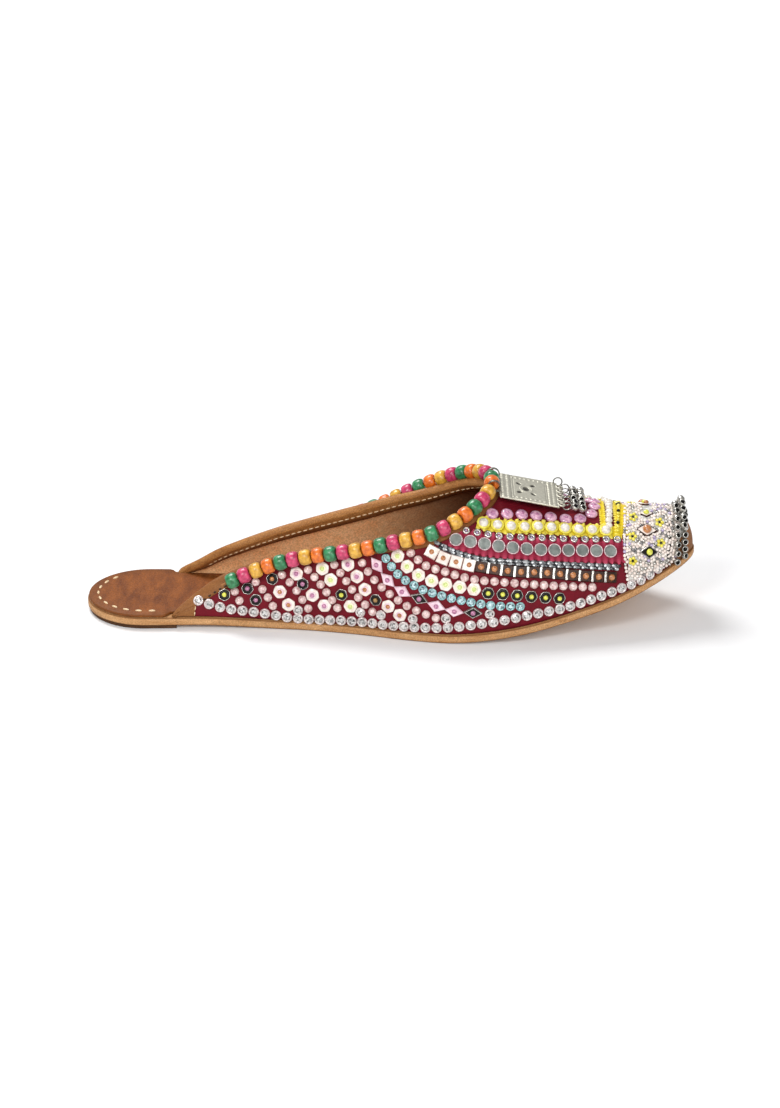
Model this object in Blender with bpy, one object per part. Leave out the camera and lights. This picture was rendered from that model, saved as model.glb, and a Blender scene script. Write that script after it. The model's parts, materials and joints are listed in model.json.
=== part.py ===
"""A backless jutti: leather sole, hollow upper, beaded collar, hinged pendant and toe bells.

The shoe points along +X and stands on z = 0. It is the same on both sides of y = 0, except that the
bead string runs lower on the +Y side. Sizes are in millimetres and become metres when a mesh is made.
A station is a distance from the back of the heel.
"""

import math
from collections import namedtuple

import bmesh
import bpy
import numpy as np
from mathutils import Matrix, Vector

MM = 0.001

# Driving dimensions
LENGTH = 264.0
BALL_WIDTH = 80.0
INSTEP = 55.0
TOE_SPRING = 25.5
HEEL_RAISE = 1.5
GAP = 0.3

# Sole, lift and insole
SOLE_THICK = 3.8
LIFT_INSET = 0.7
LIFT_FRONT = 40.0
HEEL_FLAT_END = 46.0
WAIST_START = 88.0
ROLL_START = 150.0
ROLL_POWER = 1.85
HEEL_ROUND = 26.0
TOE_ROUND = 40.0
INSOLE_THICK = 1.0
INSOLE_MARGIN = 0.5
INSOLE_CLEAR = 0.9
INSOLE_STEP_START = 35.0
INSOLE_STEP_END = 37.4
BLUNT_END = 0.4
SOLE_STRIPS = 46

# Upper
WALL = 2.2
FEATHER_MARGIN = 1.0
REAR_STATION = 38.5
COLLAR_REAR = 46.0
THROAT = 175.0
THROAT_ROUND_START = 138.0
THROAT_POWER = 2.1
ARCH_POWER = 2.1
TOE_RISE = 13.0
LINES_HALF = 32
ROWS_UP = 9
FINE_STEPS = 400
SMALL = 1e-6

# Bead string
BEADS_HALF = 24
BEAD_RADIUS = 3.4
BEAD_LENGTH = 5.1
BEAD_CLEAR = 0.5
BEAD_BORE = 1.0
BEAD_SIDES = 8
BEAD_DROP_FRONT = 0.4
BEAD_END = 0.64
BEAD_STANDOFF = 0.4
BEAD_LOWEST = 0.7
STRING_LINES = 120
STRING_ROWS = 60
STRING_POINTS = 600
STRING_EVEN = 24
CORD_RADIUS = 0.5
CORD_POINTS = 60

# Pendant, in its own frame: x along the plate from the hinge, y along the hinge, z up
PENDANT_PITCH = 11.0
PLATE_START = 5.0
PLATE_LENGTH = 28.0
PLATE_WIDTH = 26.0
PLATE_THICK = 0.9
PLATE_DROP = 0.9
BAIL_RADIUS = 2.7
BAIL_WALL = 0.7
BAIL_WIDTH = 1.4
BAIL_CENTRE = (0.9, 1.1)
BAIL_SPACE = 3.4
BAIL_SIDES = 16
TAB_START = 3.0
TAB_OVERLAP = 0.6
DANGLES = 5
DANGLE_PITCH = 4.8
EDGE_BAR = 0.9
RING_HOLE = 1.0
RING_RADIUS = 1.9
RING_WIRE = 0.25
RING_REACH = 1.0
RING_SIDES = 10
WIRE_SIDES = 5
HOLE_SIDES = 10
BELL_RADIUS = 1.7
BELL_STEP = 1.95
BELL_SIDES = 8

# Bells over the toe
TOE_BELL_STATION = 256.0
TOE_BELL_STANDOFF = 2.3
TOE_BELL_LOW = 5.0
TOE_BELL_PITCH = 3.5
TOE_BELL_NECK = 0.7
TOE_BELL_AHEAD = 1.2
TOE_BELL_SIDES = 6

SoleRow = namedtuple("SoleRow", "along width")
UpperRow = namedtuple("UpperRow", "along arch opening")

# along: part of LENGTH from the heel. width: part of BALL_WIDTH, before the ends are rounded.
SOLE_ROWS = (
    SoleRow(0.00, 0.615),
    SoleRow(0.10, 0.620),
    SoleRow(0.22, 0.603),
    SoleRow(0.29, 0.610),
    SoleRow(0.36, 0.652),
    SoleRow(0.45, 0.768),
    SoleRow(0.54, 0.925),
    SoleRow(0.60, 0.992),
    SoleRow(0.65, 1.000),
    SoleRow(0.71, 0.966),
    SoleRow(0.80, 0.830),
    SoleRow(0.88, 0.690),
    SoleRow(0.94, 0.565),
    SoleRow(1.00, 0.440),
)

# arch: part of INSTEP, the ridge's height above the sole. opening: part of BALL_WIDTH at the collar.
UPPER_ROWS = (
    UpperRow(0.14, 0.10, 0.540),
    UpperRow(0.17, 0.18, 0.485),
    UpperRow(0.21, 0.33, 0.410),
    UpperRow(0.25, 0.44, 0.375),
    UpperRow(0.30, 0.57, 0.380),
    UpperRow(0.36, 0.705, 0.430),
    UpperRow(0.42, 0.825, 0.505),
    UpperRow(0.49, 0.935, 0.595),
    UpperRow(0.55, 0.985, 0.660),
    UpperRow(0.61, 0.98, 0.700),
    UpperRow(0.67, 0.90, 0.710),
    UpperRow(0.76, 0.72, 0.710),
    UpperRow(0.86, 0.54, 0.710),
    UpperRow(0.93, 0.43, 0.710),
    UpperRow(1.00, 0.33, 0.710),
)

# Where the bead string runs below the collar's edge: drop at the rear, and the stations where it rises.
Hang = namedtuple("Hang", "drop rise_start rise_end")
NEAR_HANG = Hang(5.0, 112.0, 168.0)
FAR_HANG = Hang(15.0, 118.0, 160.0)

# A bell from end to end along its string: distance and radius, both in bell radii.
BELL_SHAPE = (
    (-0.08, 0.20),
    (0.40, 0.82),
    (0.95, 1.00),
    (1.50, 0.82),
    (1.87, 0.35),
)

Paint = namedtuple("Paint", "colour roughness metallic")
PAINTS = {
    "sole_leather": Paint((0.40, 0.22, 0.08), 0.55, 0.0),
    "lift_leather": Paint((0.18, 0.09, 0.04), 0.60, 0.0),
    "insole_leather": Paint((0.24, 0.10, 0.04), 0.40, 0.0),
    "upper_fabric": Paint((0.26, 0.01, 0.04), 0.80, 0.0),
    "thread": Paint((0.60, 0.40, 0.16), 0.85, 0.0),
    "green_bead": Paint((0.04, 0.30, 0.11), 0.40, 0.0),
    "pink_bead": Paint((0.65, 0.07, 0.18), 0.40, 0.0),
    "yellow_bead": Paint((0.72, 0.42, 0.05), 0.40, 0.0),
    "orange_bead": Paint((0.80, 0.20, 0.02), 0.40, 0.0),
    "dark_silver": Paint((0.35, 0.34, 0.32), 0.35, 1.0),
    "bell_metal": Paint((0.62, 0.60, 0.56), 0.30, 1.0),
}
BEAD_ORDER = ("green_bead", "pink_bead", "yellow_bead", "orange_bead")


def clear_scene():
    """Start from an empty scene."""
    for thing in list(bpy.data.objects):
        bpy.data.objects.remove(thing, do_unlink=True)


def material(name):
    """The named paint as a Principled material, made once."""
    found = bpy.data.materials.get(name)
    if found:
        return found
    made = bpy.data.materials.new(name)
    made.use_nodes = True
    shader = made.node_tree.nodes["Principled BSDF"]
    paint = PAINTS[name]
    shader.inputs["Base Color"].default_value = (*paint.colour, 1.0)
    shader.inputs["Roughness"].default_value = paint.roughness
    shader.inputs["Metallic"].default_value = paint.metallic
    return made


def make_mesh(name, points, faces, paint):
    """A mesh from points in millimetres, with its faces turned outwards."""
    mesh = bpy.data.meshes.new(name)
    mesh.from_pydata([tuple(point) for point in np.asarray(points) * MM], [], faces)
    work = bmesh.new()
    work.from_mesh(mesh)
    bmesh.ops.recalc_face_normals(work, faces=work.faces)
    work.to_mesh(mesh)
    work.free()
    mesh.materials.append(material(paint))
    return mesh


def add_object(name, mesh, sharp_angle=40.0):
    """An object in the scene that shows the mesh, smooth except at sharp edges."""
    mesh.shade_smooth()
    mesh.set_sharp_from_angle(angle=math.radians(sharp_angle))
    thing = bpy.data.objects.new(name, mesh)
    bpy.context.collection.objects.link(thing)
    return thing


def combine(base, operation, other):
    """Cut or join one object with another for good, and remove the other."""
    step = base.modifiers.new(operation, "BOOLEAN")
    step.operation = operation
    step.solver = "EXACT"
    step.object = other
    seen = base.evaluated_get(bpy.context.evaluated_depsgraph_get())
    mesh = bpy.data.meshes.new_from_object(seen)
    base.modifiers.clear()
    base.data = mesh
    bpy.data.objects.remove(other, do_unlink=True)


def smooth(rows, column, along):
    """A cubic through one column of a table, with each row's slope taken from its neighbours."""
    places = np.array([row.along for row in rows])
    values = np.array([getattr(row, column) for row in rows])
    slopes = np.gradient(values, places)
    along = np.asarray(along, dtype=float)
    left = np.clip(np.searchsorted(places, along) - 1, 0, len(places) - 2)
    step = places[left + 1] - places[left]
    part = (along - places[left]) / step
    rise = values[left + 1] - values[left]
    start = slopes[left] * step
    end = slopes[left + 1] * step
    square = 3 * rise - 2 * start - end
    cube = start + end - 2 * rise
    return values[left] + part * (start + part * (square + part * cube))


def quarter_round(part):
    """Rises from 0 to 1 like a quarter circle while part goes from 0 to 1, and stays at 1."""
    part = np.clip(part, 0.0, 1.0)
    return np.sqrt(1.0 - (1.0 - part) ** 2)


def ease(part):
    """Goes from 0 to 1 with no slope at either end."""
    part = np.clip(part, 0.0, 1.0)
    return part * part * (3.0 - 2.0 * part)


def sole_half(station):
    """Half of the sole's width: the table's width, with a round heel and a rounded toe."""
    half = BALL_WIDTH / 2 * smooth(SOLE_ROWS, "width", station / LENGTH)
    return half * quarter_round(station / HEEL_ROUND) * quarter_round((LENGTH - station) / TOE_ROUND)


def underside(station):
    """Height of the sole's underside: raised on the heel lift, flat at the tread, sprung at the toe."""
    heel = HEEL_RAISE * (1.0 - ease((station - HEEL_FLAT_END) / (WAIST_START - HEEL_FLAT_END)))
    roll = np.clip((station - ROLL_START) / (LENGTH - ROLL_START), 0.0, None)
    return heel + TOE_SPRING * roll ** ROLL_POWER


def sole_top(station):
    """Height of the sole's upper face."""
    return underside(station) + SOLE_THICK


def inset_outline(inset, count):
    """Stations and half widths of the sole's outline moved inwards, close together at both ends."""
    station = LENGTH * (1.0 - np.cos(np.linspace(0.0, math.pi, count))) / 2
    half = sole_half(station)
    along = np.gradient(station, edge_order=2)
    across = np.gradient(half, edge_order=2)
    reach = np.hypot(along, across)
    return station + inset * across / reach, half - inset * along / reach


def by_length(points, count):
    """Points at equal steps along a line of points."""
    steps = np.linalg.norm(np.diff(points, axis=0), axis=1)
    run = np.concatenate(([0.0], np.cumsum(steps)))
    wanted = np.linspace(0.0, run[-1], count)
    columns = [np.interp(wanted, run, points[:, axis]) for axis in range(points.shape[1])]
    return np.stack(columns, axis=1)


def in_frame(points):
    """Points whose first number is a station, moved so that x = 0 is the middle of the length."""
    return np.asarray(points) - np.array((LENGTH / 2, 0.0, 0.0))


def slab(name, station, half, low, high, paint):
    """A layer in strips: two edges below and two above at each station, closed at both ends."""
    half = np.maximum(half, BLUNT_END)
    corners = ((-half, low), (half, low), (half, high), (-half, high))
    rings = np.stack([np.stack((station, y, z), axis=1) for y, z in corners], axis=1)
    faces = [(0, 1, 2, 3)]
    for strip in range(len(station) - 1):
        for corner in range(4):
            after = (corner + 1) % 4
            here = 4 * strip
            faces.append((here + corner, here + after, here + 4 + after, here + 4 + corner))
    last = 4 * (len(station) - 1)
    faces.append((last, last + 1, last + 2, last + 3))
    return add_object(name, make_mesh(name, in_frame(rings.reshape(-1, 3)), faces, paint))


def make_outsole():
    """The leather outsole, sprung up at the toe."""
    station, half = inset_outline(0.0, SOLE_STRIPS)
    return slab("outsole", station, half, underside(station), sole_top(station), "sole_leather")


def make_heel_lift():
    """The thin lift under the heel, flat on the floor."""
    station, half = inset_outline(LIFT_INSET, SOLE_STRIPS)
    keep = station < LIFT_FRONT
    station = np.append(station[keep], LIFT_FRONT)
    half = np.append(half[keep], sole_half(LIFT_FRONT) - LIFT_INSET)
    flat = np.zeros_like(station)
    return slab("heel_lift", station, half, flat, flat + HEEL_RAISE - GAP, "lift_leather")


def make_insole():
    """The insole: as wide as the sole at the bare heel, and inside the wall further forward."""
    inside = FEATHER_MARGIN + WALL + INSOLE_CLEAR
    rear_station, rear_half = inset_outline(INSOLE_MARGIN, SOLE_STRIPS)
    front_station, front_half = inset_outline(inside, SOLE_STRIPS)
    rear = rear_station < INSOLE_STEP_START
    front = front_station > INSOLE_STEP_END
    step = np.array((INSOLE_STEP_START, INSOLE_STEP_END))
    step_half = sole_half(step) - np.array((INSOLE_MARGIN, inside))
    station = np.concatenate((rear_station[rear], step, front_station[front]))
    half = np.concatenate((rear_half[rear], step_half, front_half[front]))
    low = sole_top(station) + GAP
    return slab("insole", station, half, low, low + INSOLE_THICK, "insole_leather")


def feather_line(count):
    """Station and y of the upper's lower edge on one side, from the rear corner to the toe's tip."""
    station, half = inset_outline(FEATHER_MARGIN, FINE_STEPS)
    ahead = station > REAR_STATION
    station = np.concatenate(([REAR_STATION], station[ahead]))
    half = np.concatenate(([sole_half(REAR_STATION) - FEATHER_MARGIN], half[ahead]))
    return by_length(np.stack((station, -half), axis=1), count)


def opening_half(station):
    """Half of the collar's opening, seen from above: the table's width, rounded off at the throat."""
    half = BALL_WIDTH / 2 * smooth(UPPER_ROWS, "opening", station / LENGTH)
    part = np.clip((station - THROAT_ROUND_START) / (THROAT - THROAT_ROUND_START), 0.0, 1.0)
    return half * (1.0 - part ** THROAT_POWER) ** (1.0 / THROAT_POWER)


def collar_line(count):
    """Station and y of the collar on one side, from the rear corner to the throat."""
    part = np.sin(np.linspace(0.0, math.pi / 2, FINE_STEPS))
    station = COLLAR_REAR + (THROAT - COLLAR_REAR) * part
    return by_length(np.stack((station, -opening_half(station)), axis=1), count)


def arch_height(station, y):
    """Height of the upper above the sole: a fuller ellipse across, rounded down at the toe's tip."""
    tip = LENGTH - FEATHER_MARGIN
    ridge = INSTEP * smooth(UPPER_ROWS, "arch", station / LENGTH)
    ridge = ridge * quarter_round((tip - station) / TOE_RISE)
    outline_station, outline_half = inset_outline(FEATHER_MARGIN, FINE_STEPS)
    base = np.maximum(np.interp(station, outline_station, outline_half), SMALL)
    side = np.clip(np.abs(y) / base, 0.0, 1.0)
    return ridge * (1.0 - side ** ARCH_POWER) ** (1.0 / ARCH_POWER)


def upper_surface(lines_half, rows):
    """Outer points of the upper: lines from the rear corner round the toe, rows from sole to collar."""
    lines = []
    spread = np.linspace(0.0, 1.0, FINE_STEPS)[:, None] ** 2
    for foot, top in zip(feather_line(lines_half + 1), collar_line(lines_half + 1)):
        plan = foot + (top - foot) * spread
        height = sole_top(plan[:, 0]) + GAP + arch_height(plan[:, 0], plan[:, 1])
        lines.append(by_length(np.column_stack((plan, height)), rows + 1))
    near = np.array(lines)
    near[-1, :, 1] = 0.0
    far = near[-2::-1] * np.array((1.0, -1.0, 1.0))
    return np.concatenate((near, far))


def outward(grid):
    """Unit normals of a grid of points, level along its lower edge."""
    along = np.gradient(grid, axis=0)
    up = np.gradient(grid, axis=1)
    normal = np.cross(along, up)
    normal[:, 0, 2] = 0.0
    return normal / np.linalg.norm(normal, axis=2, keepdims=True)


def make_upper():
    """The upper as one hollow wall, open at the back, the collar and underneath."""
    outer = upper_surface(LINES_HALF, ROWS_UP)
    inner = outer - WALL * outward(outer)
    inner[:, 0, 2] = sole_top(inner[:, 0, 0]) + GAP
    count, across = outer.shape[:2]
    points = np.concatenate((outer.reshape(-1, 3), inner.reshape(-1, 3)))
    number = np.arange(count * across).reshape(count, across)
    faces = []
    for line in range(count - 1):
        for row in range(across - 1):
            low = number[line:line + 2, row]
            high = number[line:line + 2, row + 1]
            cell = [int(index) for index in (*low, *high[::-1])]
            faces.append(cell)
            faces.append([index + count * across for index in reversed(cell)])
    rim = np.concatenate((number[:-1, 0], number[-1, :-1], number[:0:-1, -1], number[0, :0:-1]))
    for here, after in zip(rim, np.roll(rim, -1)):
        here = int(here)
        after = int(after)
        faces.append((here, here + count * across, after + count * across, after))
    return add_object("upper", make_mesh("upper", in_frame(points), faces, "upper_fabric"))


def turned_ring(profile, sides):
    """Points and faces of a closed profile, (x, radius) pairs, carried once round the x axis."""
    x, radius = np.array(profile).T
    turn = np.linspace(0.0, 2 * math.pi, sides, endpoint=False)[:, None]
    points = np.stack((x + 0.0 * turn, radius * np.cos(turn), radius * np.sin(turn)), axis=2)
    count = len(profile)
    faces = []
    for side in range(sides):
        for step in range(count):
            here = side * count
            after = (side + 1) % sides * count
            following = (step + 1) % count
            faces.append((here + step, here + following, after + following, after + step))
    return points.reshape(-1, 3), faces


def beaded_tube(path, radii, sides, across):
    """Points and faces of a closed tube whose radius changes along a path that stays square to across."""
    tangent = np.gradient(path, axis=0)
    tangent = tangent / np.linalg.norm(tangent, axis=1, keepdims=True)
    aside = np.cross(tangent, across)
    turn = np.linspace(0.0, 2 * math.pi, sides, endpoint=False)[None, :, None]
    spokes = np.cos(turn) * aside[:, None] + np.sin(turn) * np.asarray(across)
    points = path[:, None] + radii[:, None, None] * spokes
    faces = [tuple(range(sides))]
    for ring in range(len(path) - 1):
        for side in range(sides):
            here = ring * sides
            after = (side + 1) % sides
            faces.append((here + side, here + after, here + sides + after, here + sides + side))
    last = (len(path) - 1) * sides
    faces.append(tuple(range(last, last + sides)))
    return points.reshape(-1, 3), faces


def evened(line, reach):
    """A line with each point replaced by a weighted mean of its neighbours, straight past the ends."""
    weight = np.hanning(2 * reach + 3)[1:-1]
    longer = np.pad(line, ((reach, reach), (0, 0)), mode="reflect", reflect_type="odd")
    columns = [np.convolve(column, weight / weight.sum(), mode="valid") for column in longer.T]
    return np.stack(columns, axis=1)


def string_drop(station, hang):
    """How far below the collar's edge the string runs: a set drop at the rear, almost none at the throat."""
    forward = ease((station - hang.rise_start) / (hang.rise_end - hang.rise_start))
    return hang.drop + (BEAD_DROP_FRONT - hang.drop) * forward


def string_path():
    """Centre line of the bead string: outside the wings, lower on the +Y side, on the edge at the throat."""
    outer = upper_surface(STRING_LINES, STRING_ROWS)
    out = outward(outer)
    edge = outer[:, -1]
    near = string_drop(edge[:, 0], NEAR_HANG)
    far = string_drop(edge[:, 0], FAR_HANG)
    drop = np.where(edge[:, 1] > 0.0, far, near)
    step = np.linalg.norm(edge - outer[:, -2], axis=1)
    down = np.minimum(drop / step, BEAD_LOWEST * STRING_ROWS)
    upper_row = STRING_ROWS - np.floor(down).astype(int)
    line = np.arange(len(outer))
    part = (down - np.floor(down))[:, None]
    seat = (1.0 - part) * outer[line, upper_row] + part * outer[line, upper_row - 1]
    away = (1.0 - part) * out[line, upper_row] + part * out[line, upper_row - 1]
    centre = seat + (BEAD_RADIUS + BEAD_STANDOFF) * away
    return in_frame(evened(by_length(centre, STRING_POINTS), STRING_EVEN))


def along_string(path, distance):
    """Point and direction on the string at a distance from the throat, positive towards +Y."""
    steps = np.linalg.norm(np.diff(path, axis=0), axis=1)
    run = np.concatenate(([0.0], np.cumsum(steps)))
    over = np.argmax(path[:, 1] > 0.0)
    throat = np.interp(0.0, path[over - 1:over + 1, 1], run[over - 1:over + 1])
    wanted = throat + distance
    point = np.array([np.interp(wanted, run, path[:, axis]) for axis in range(3)])
    slope = np.gradient(path, axis=0)
    direction = np.array([np.interp(wanted, run, slope[:, axis]) for axis in range(3)])
    return point, direction


def bead_distances():
    """Distances of the beads from the throat, with a space for a bail after the first on each side."""
    first = (BEAD_CLEAR + BEAD_LENGTH) / 2
    second = first + BEAD_LENGTH + BAIL_SPACE
    rest = second + (BEAD_LENGTH + BEAD_CLEAR) * np.arange(BEADS_HALF - 1)
    half = np.concatenate(([first], rest))
    return np.concatenate((-half[::-1], half))


def bead_mesh(paint):
    """A barrel-shaped wooden bead with a bore along x."""
    end = BEAD_LENGTH / 2
    shoulder = end / 2
    profile = (
        (-end, BEAD_END * BEAD_RADIUS),
        (-shoulder, BEAD_RADIUS),
        (shoulder, BEAD_RADIUS),
        (end, BEAD_END * BEAD_RADIUS),
        (end, BEAD_BORE),
        (-end, BEAD_BORE),
    )
    points, faces = turned_ring(profile, BEAD_SIDES)
    return make_mesh(paint, points, faces, paint)


def make_beads(path):
    """The beads, each its own object, in four colours by turns."""
    meshes = [bead_mesh(paint) for paint in BEAD_ORDER]
    for number, distance in enumerate(bead_distances()):
        point, direction = along_string(path, distance)
        bead = add_object(f"bead_{number + 1:02d}", meshes[number % len(meshes)])
        bead.location = Vector(point * MM)
        bead.rotation_mode = "QUATERNION"
        bead.rotation_quaternion = Vector(direction).to_track_quat("X", "Z")


def make_cord(path):
    """The thread through the beads, a little longer than the row of beads."""
    reach = bead_distances()[-1] + BEAD_LENGTH
    curve = bpy.data.curves.new("bead_cord", "CURVE")
    curve.dimensions = "3D"
    curve.bevel_depth = CORD_RADIUS * MM
    curve.bevel_resolution = 2
    curve.use_fill_caps = True
    spline = curve.splines.new("POLY")
    spline.points.add(CORD_POINTS - 1)
    for knot, distance in zip(spline.points, np.linspace(-reach, reach, CORD_POINTS)):
        point = along_string(path, distance)[0] * MM
        knot.co = (*point, 1.0)
    curve.materials.append(material("thread"))
    cord = bpy.data.objects.new("bead_cord", curve)
    bpy.context.collection.objects.link(cord)


def box(name, low, high, paint):
    """A plain block between two corners."""
    points = [(x, y, z) for x in (low[0], high[0]) for y in (low[1], high[1]) for z in (low[2], high[2])]
    faces = [(0, 1, 3, 2), (4, 6, 7, 5), (0, 4, 5, 1), (2, 3, 7, 6), (0, 2, 6, 4), (1, 5, 7, 3)]
    return add_object(name, make_mesh(name, points, faces, paint))


def ring_about_y(name, profile, sides, centre, paint):
    """A turned ring whose axis runs along y through a centre."""
    points, faces = turned_ring(profile, sides)
    points = points[:, (1, 0, 2)] + np.asarray(centre)
    return add_object(name, make_mesh(name, points, faces, paint))


def post(name, radius, centre, paint):
    """An upright round cutter through the plate."""
    mesh = bpy.data.meshes.new(name)
    work = bmesh.new()
    bmesh.ops.create_cone(
        work,
        cap_ends=True,
        segments=HOLE_SIDES,
        radius1=radius * MM,
        radius2=radius * MM,
        depth=4 * PLATE_THICK * MM,
        matrix=Matrix.Translation(Vector(centre) * MM),
    )
    work.to_mesh(mesh)
    work.free()
    mesh.materials.append(material(paint))
    return add_object(name, mesh)


def dangle_places():
    """Places of the hinge lines of the dangles on the plate's front bar, in the plate's frame."""
    x = PLATE_START + PLATE_LENGTH - EDGE_BAR / 2
    middle = (DANGLES - 1) / 2
    return [(x, (number - middle) * DANGLE_PITCH, -PLATE_DROP) for number in range(DANGLES)]


def make_pendant(path):
    """The stamped plate with two bails round the string and holes for rings, turning about the string."""
    bail_distance = BEAD_CLEAR / 2 + BEAD_LENGTH + BAIL_SPACE / 2
    hinge = along_string(path, bail_distance)[0]
    half = PLATE_WIDTH / 2
    low = (PLATE_START, -half, -PLATE_DROP - PLATE_THICK / 2)
    high = (PLATE_START + PLATE_LENGTH, half, -PLATE_DROP + PLATE_THICK / 2)
    plate = box("pendant_plate", low, high, "dark_silver")
    for x, y, z in dangle_places():
        hole_x = x - EDGE_BAR / 2 - RING_HOLE
        combine(plate, "DIFFERENCE", post("hole", RING_HOLE, (hole_x, y, z), "dark_silver"))
    wide = BAIL_WIDTH / 2
    outer = BAIL_RADIUS + BAIL_WALL
    profile = ((-wide, BAIL_RADIUS), (wide, BAIL_RADIUS), (wide, outer), (-wide, outer))
    for y in (-hinge[1], hinge[1]):
        tab_low = (TAB_START, y - wide, low[2])
        tab_high = (PLATE_START + TAB_OVERLAP, y + wide, high[2])
        combine(plate, "UNION", box("tab", tab_low, tab_high, "dark_silver"))
        centre = (BAIL_CENTRE[0], y, BAIL_CENTRE[1])
        combine(plate, "UNION", ring_about_y("bail", profile, BAIL_SIDES, centre, "dark_silver"))
    plate.location = Vector((hinge[0], 0.0, hinge[2])) * MM
    plate.rotation_euler = (0.0, math.radians(PENDANT_PITCH), 0.0)
    return plate


def dangle_mesh():
    """A jump ring with two small bells in line, turning about y at its own origin."""
    turn = np.linspace(0.0, 2 * math.pi, WIRE_SIDES, endpoint=False)
    profile = np.stack((RING_WIRE * np.cos(turn), RING_RADIUS + RING_WIRE * np.sin(turn)), axis=1)
    ring = ring_about_y("ring", profile, RING_SIDES, (RING_REACH, 0.0, 0.0), "bell_metal")
    start = RING_REACH + RING_RADIUS
    shape = np.array(BELL_SHAPE)
    pair = np.concatenate((shape, shape[1:] + np.array((BELL_STEP, 0.0))))
    path = np.stack((start + pair[:, 0] * BELL_RADIUS, 0 * pair[:, 0], 0 * pair[:, 0]), axis=1)
    points, faces = beaded_tube(path, pair[:, 1] * BELL_RADIUS, BELL_SIDES, (0.0, 1.0, 0.0))
    bells = add_object("bells", make_mesh("bells", points, faces, "bell_metal"))
    combine(bells, "UNION", ring)
    mesh = bells.data
    bpy.data.objects.remove(bells, do_unlink=True)
    return mesh


def make_dangles(plate):
    """The ringed bells along the plate's front edge, each on its own hinge line."""
    mesh = dangle_mesh()
    for number, place in enumerate(dangle_places()):
        dangle = add_object(f"dangle_{number + 1}", mesh)
        dangle.parent = plate
        dangle.location = Vector(place) * MM


def make_toe_bells():
    """The strip of small bells over the toe, as one string that swells at each bell."""
    tip_half = np.interp(TOE_BELL_STATION, *inset_outline(FEATHER_MARGIN, FINE_STEPS)) + TOE_BELL_STANDOFF
    ridge = arch_height(TOE_BELL_STATION, 0.0) + TOE_BELL_STANDOFF
    turn = np.radians(np.linspace(TOE_BELL_LOW, 180.0 - TOE_BELL_LOW, FINE_STEPS))
    across = np.sign(np.cos(turn)) * np.abs(np.cos(turn)) ** (2 / ARCH_POWER)
    height = np.sin(turn) ** (2 / ARCH_POWER)
    station = TOE_BELL_STATION + TOE_BELL_AHEAD
    arc = np.stack((station + 0 * turn, -tip_half * across, sole_top(station) + ridge * height), axis=1)
    length = np.linalg.norm(np.diff(arc, axis=0), axis=1).sum()
    bells = int(length / TOE_BELL_PITCH)
    path = in_frame(by_length(arc, 3 * bells + 1))
    radii = np.full(len(path), BELL_RADIUS)
    radii[::3] = TOE_BELL_NECK
    points, faces = beaded_tube(path, radii, TOE_BELL_SIDES, (1.0, 0.0, 0.0))
    return add_object("toe_bells", make_mesh("toe_bells", points, faces, "bell_metal"))


def main():
    """Build the whole shoe."""
    clear_scene()
    make_outsole()
    make_heel_lift()
    make_insole()
    make_upper()
    path = string_path()
    make_beads(path)
    make_cord(path)
    make_dangles(make_pendant(path))
    make_toe_bells()


main()
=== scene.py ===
# %% [markdown]
# # A backless jutti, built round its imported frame
# A jutti is a flat leather slipper. This one has a maroon silk upper covered with sewn stones, a tan
# leather binding, a string of wooden beads round the collar, a stamped pendant and rows of small bells.
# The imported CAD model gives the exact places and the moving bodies, so it is loaded first and never
# moved. Every new piece is worked out in millimetres on the same curves, and then rides on a body.

# %% Load the frame
import json
import math
from collections import namedtuple

import bmesh
import bpy
import numpy as np
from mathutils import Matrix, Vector


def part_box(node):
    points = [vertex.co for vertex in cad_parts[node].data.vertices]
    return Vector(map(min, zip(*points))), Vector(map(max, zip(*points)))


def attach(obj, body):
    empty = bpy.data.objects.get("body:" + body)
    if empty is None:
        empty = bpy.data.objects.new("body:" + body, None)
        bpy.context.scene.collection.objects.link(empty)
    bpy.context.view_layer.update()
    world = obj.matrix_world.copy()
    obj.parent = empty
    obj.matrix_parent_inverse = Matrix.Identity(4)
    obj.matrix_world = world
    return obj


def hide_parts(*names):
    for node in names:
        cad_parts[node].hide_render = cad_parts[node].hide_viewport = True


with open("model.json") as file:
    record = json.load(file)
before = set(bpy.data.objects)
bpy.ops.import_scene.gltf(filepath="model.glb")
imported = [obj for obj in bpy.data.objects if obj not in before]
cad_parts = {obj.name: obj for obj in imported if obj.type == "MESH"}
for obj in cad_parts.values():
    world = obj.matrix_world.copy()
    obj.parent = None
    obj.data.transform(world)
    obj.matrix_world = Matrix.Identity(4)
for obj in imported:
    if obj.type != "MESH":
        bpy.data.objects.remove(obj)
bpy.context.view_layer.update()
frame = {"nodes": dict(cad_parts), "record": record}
MM = 0.001
shoe_nodes = frame["record"]["behaviour"]["bodies"]["shoe"]
bead_names = sorted(name for name in shoe_nodes if name.startswith("bead_") and name != "bead_cord")

# %% [markdown]
# ## Camera
# The shoe is seen square from the side and from a little above, through a long lens. A camera can be
# placed by eye, but here the angle, distance and lens were fitted to the picture once and are kept as
# named values. The same values turn a place in the picture into a line of sight, which is how the
# sewn rows find their places on the vamp later on.

# %% Camera
LENGTH = 264.0
PHOTO_WIDTH = 780
PHOTO_HEIGHT = 1108
FOCAL_PX = 2990.0
SENSOR_MM = 36.0
ELEVATION = math.radians(24.0)
EYE_DISTANCE = 1300.0
TARGET = np.array((LENGTH / 2, 0.0, 24.5))
BACK = np.array((0.0, -math.cos(ELEVATION), math.sin(ELEVATION)))
UP = np.array((0.0, math.sin(ELEVATION), math.cos(ELEVATION)))
RIGHT = np.array((1.0, 0.0, 0.0))
EYE = TARGET + EYE_DISTANCE * BACK
HEEL_SHIFT = np.array((LENGTH / 2, 0.0, 0.0))


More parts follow.
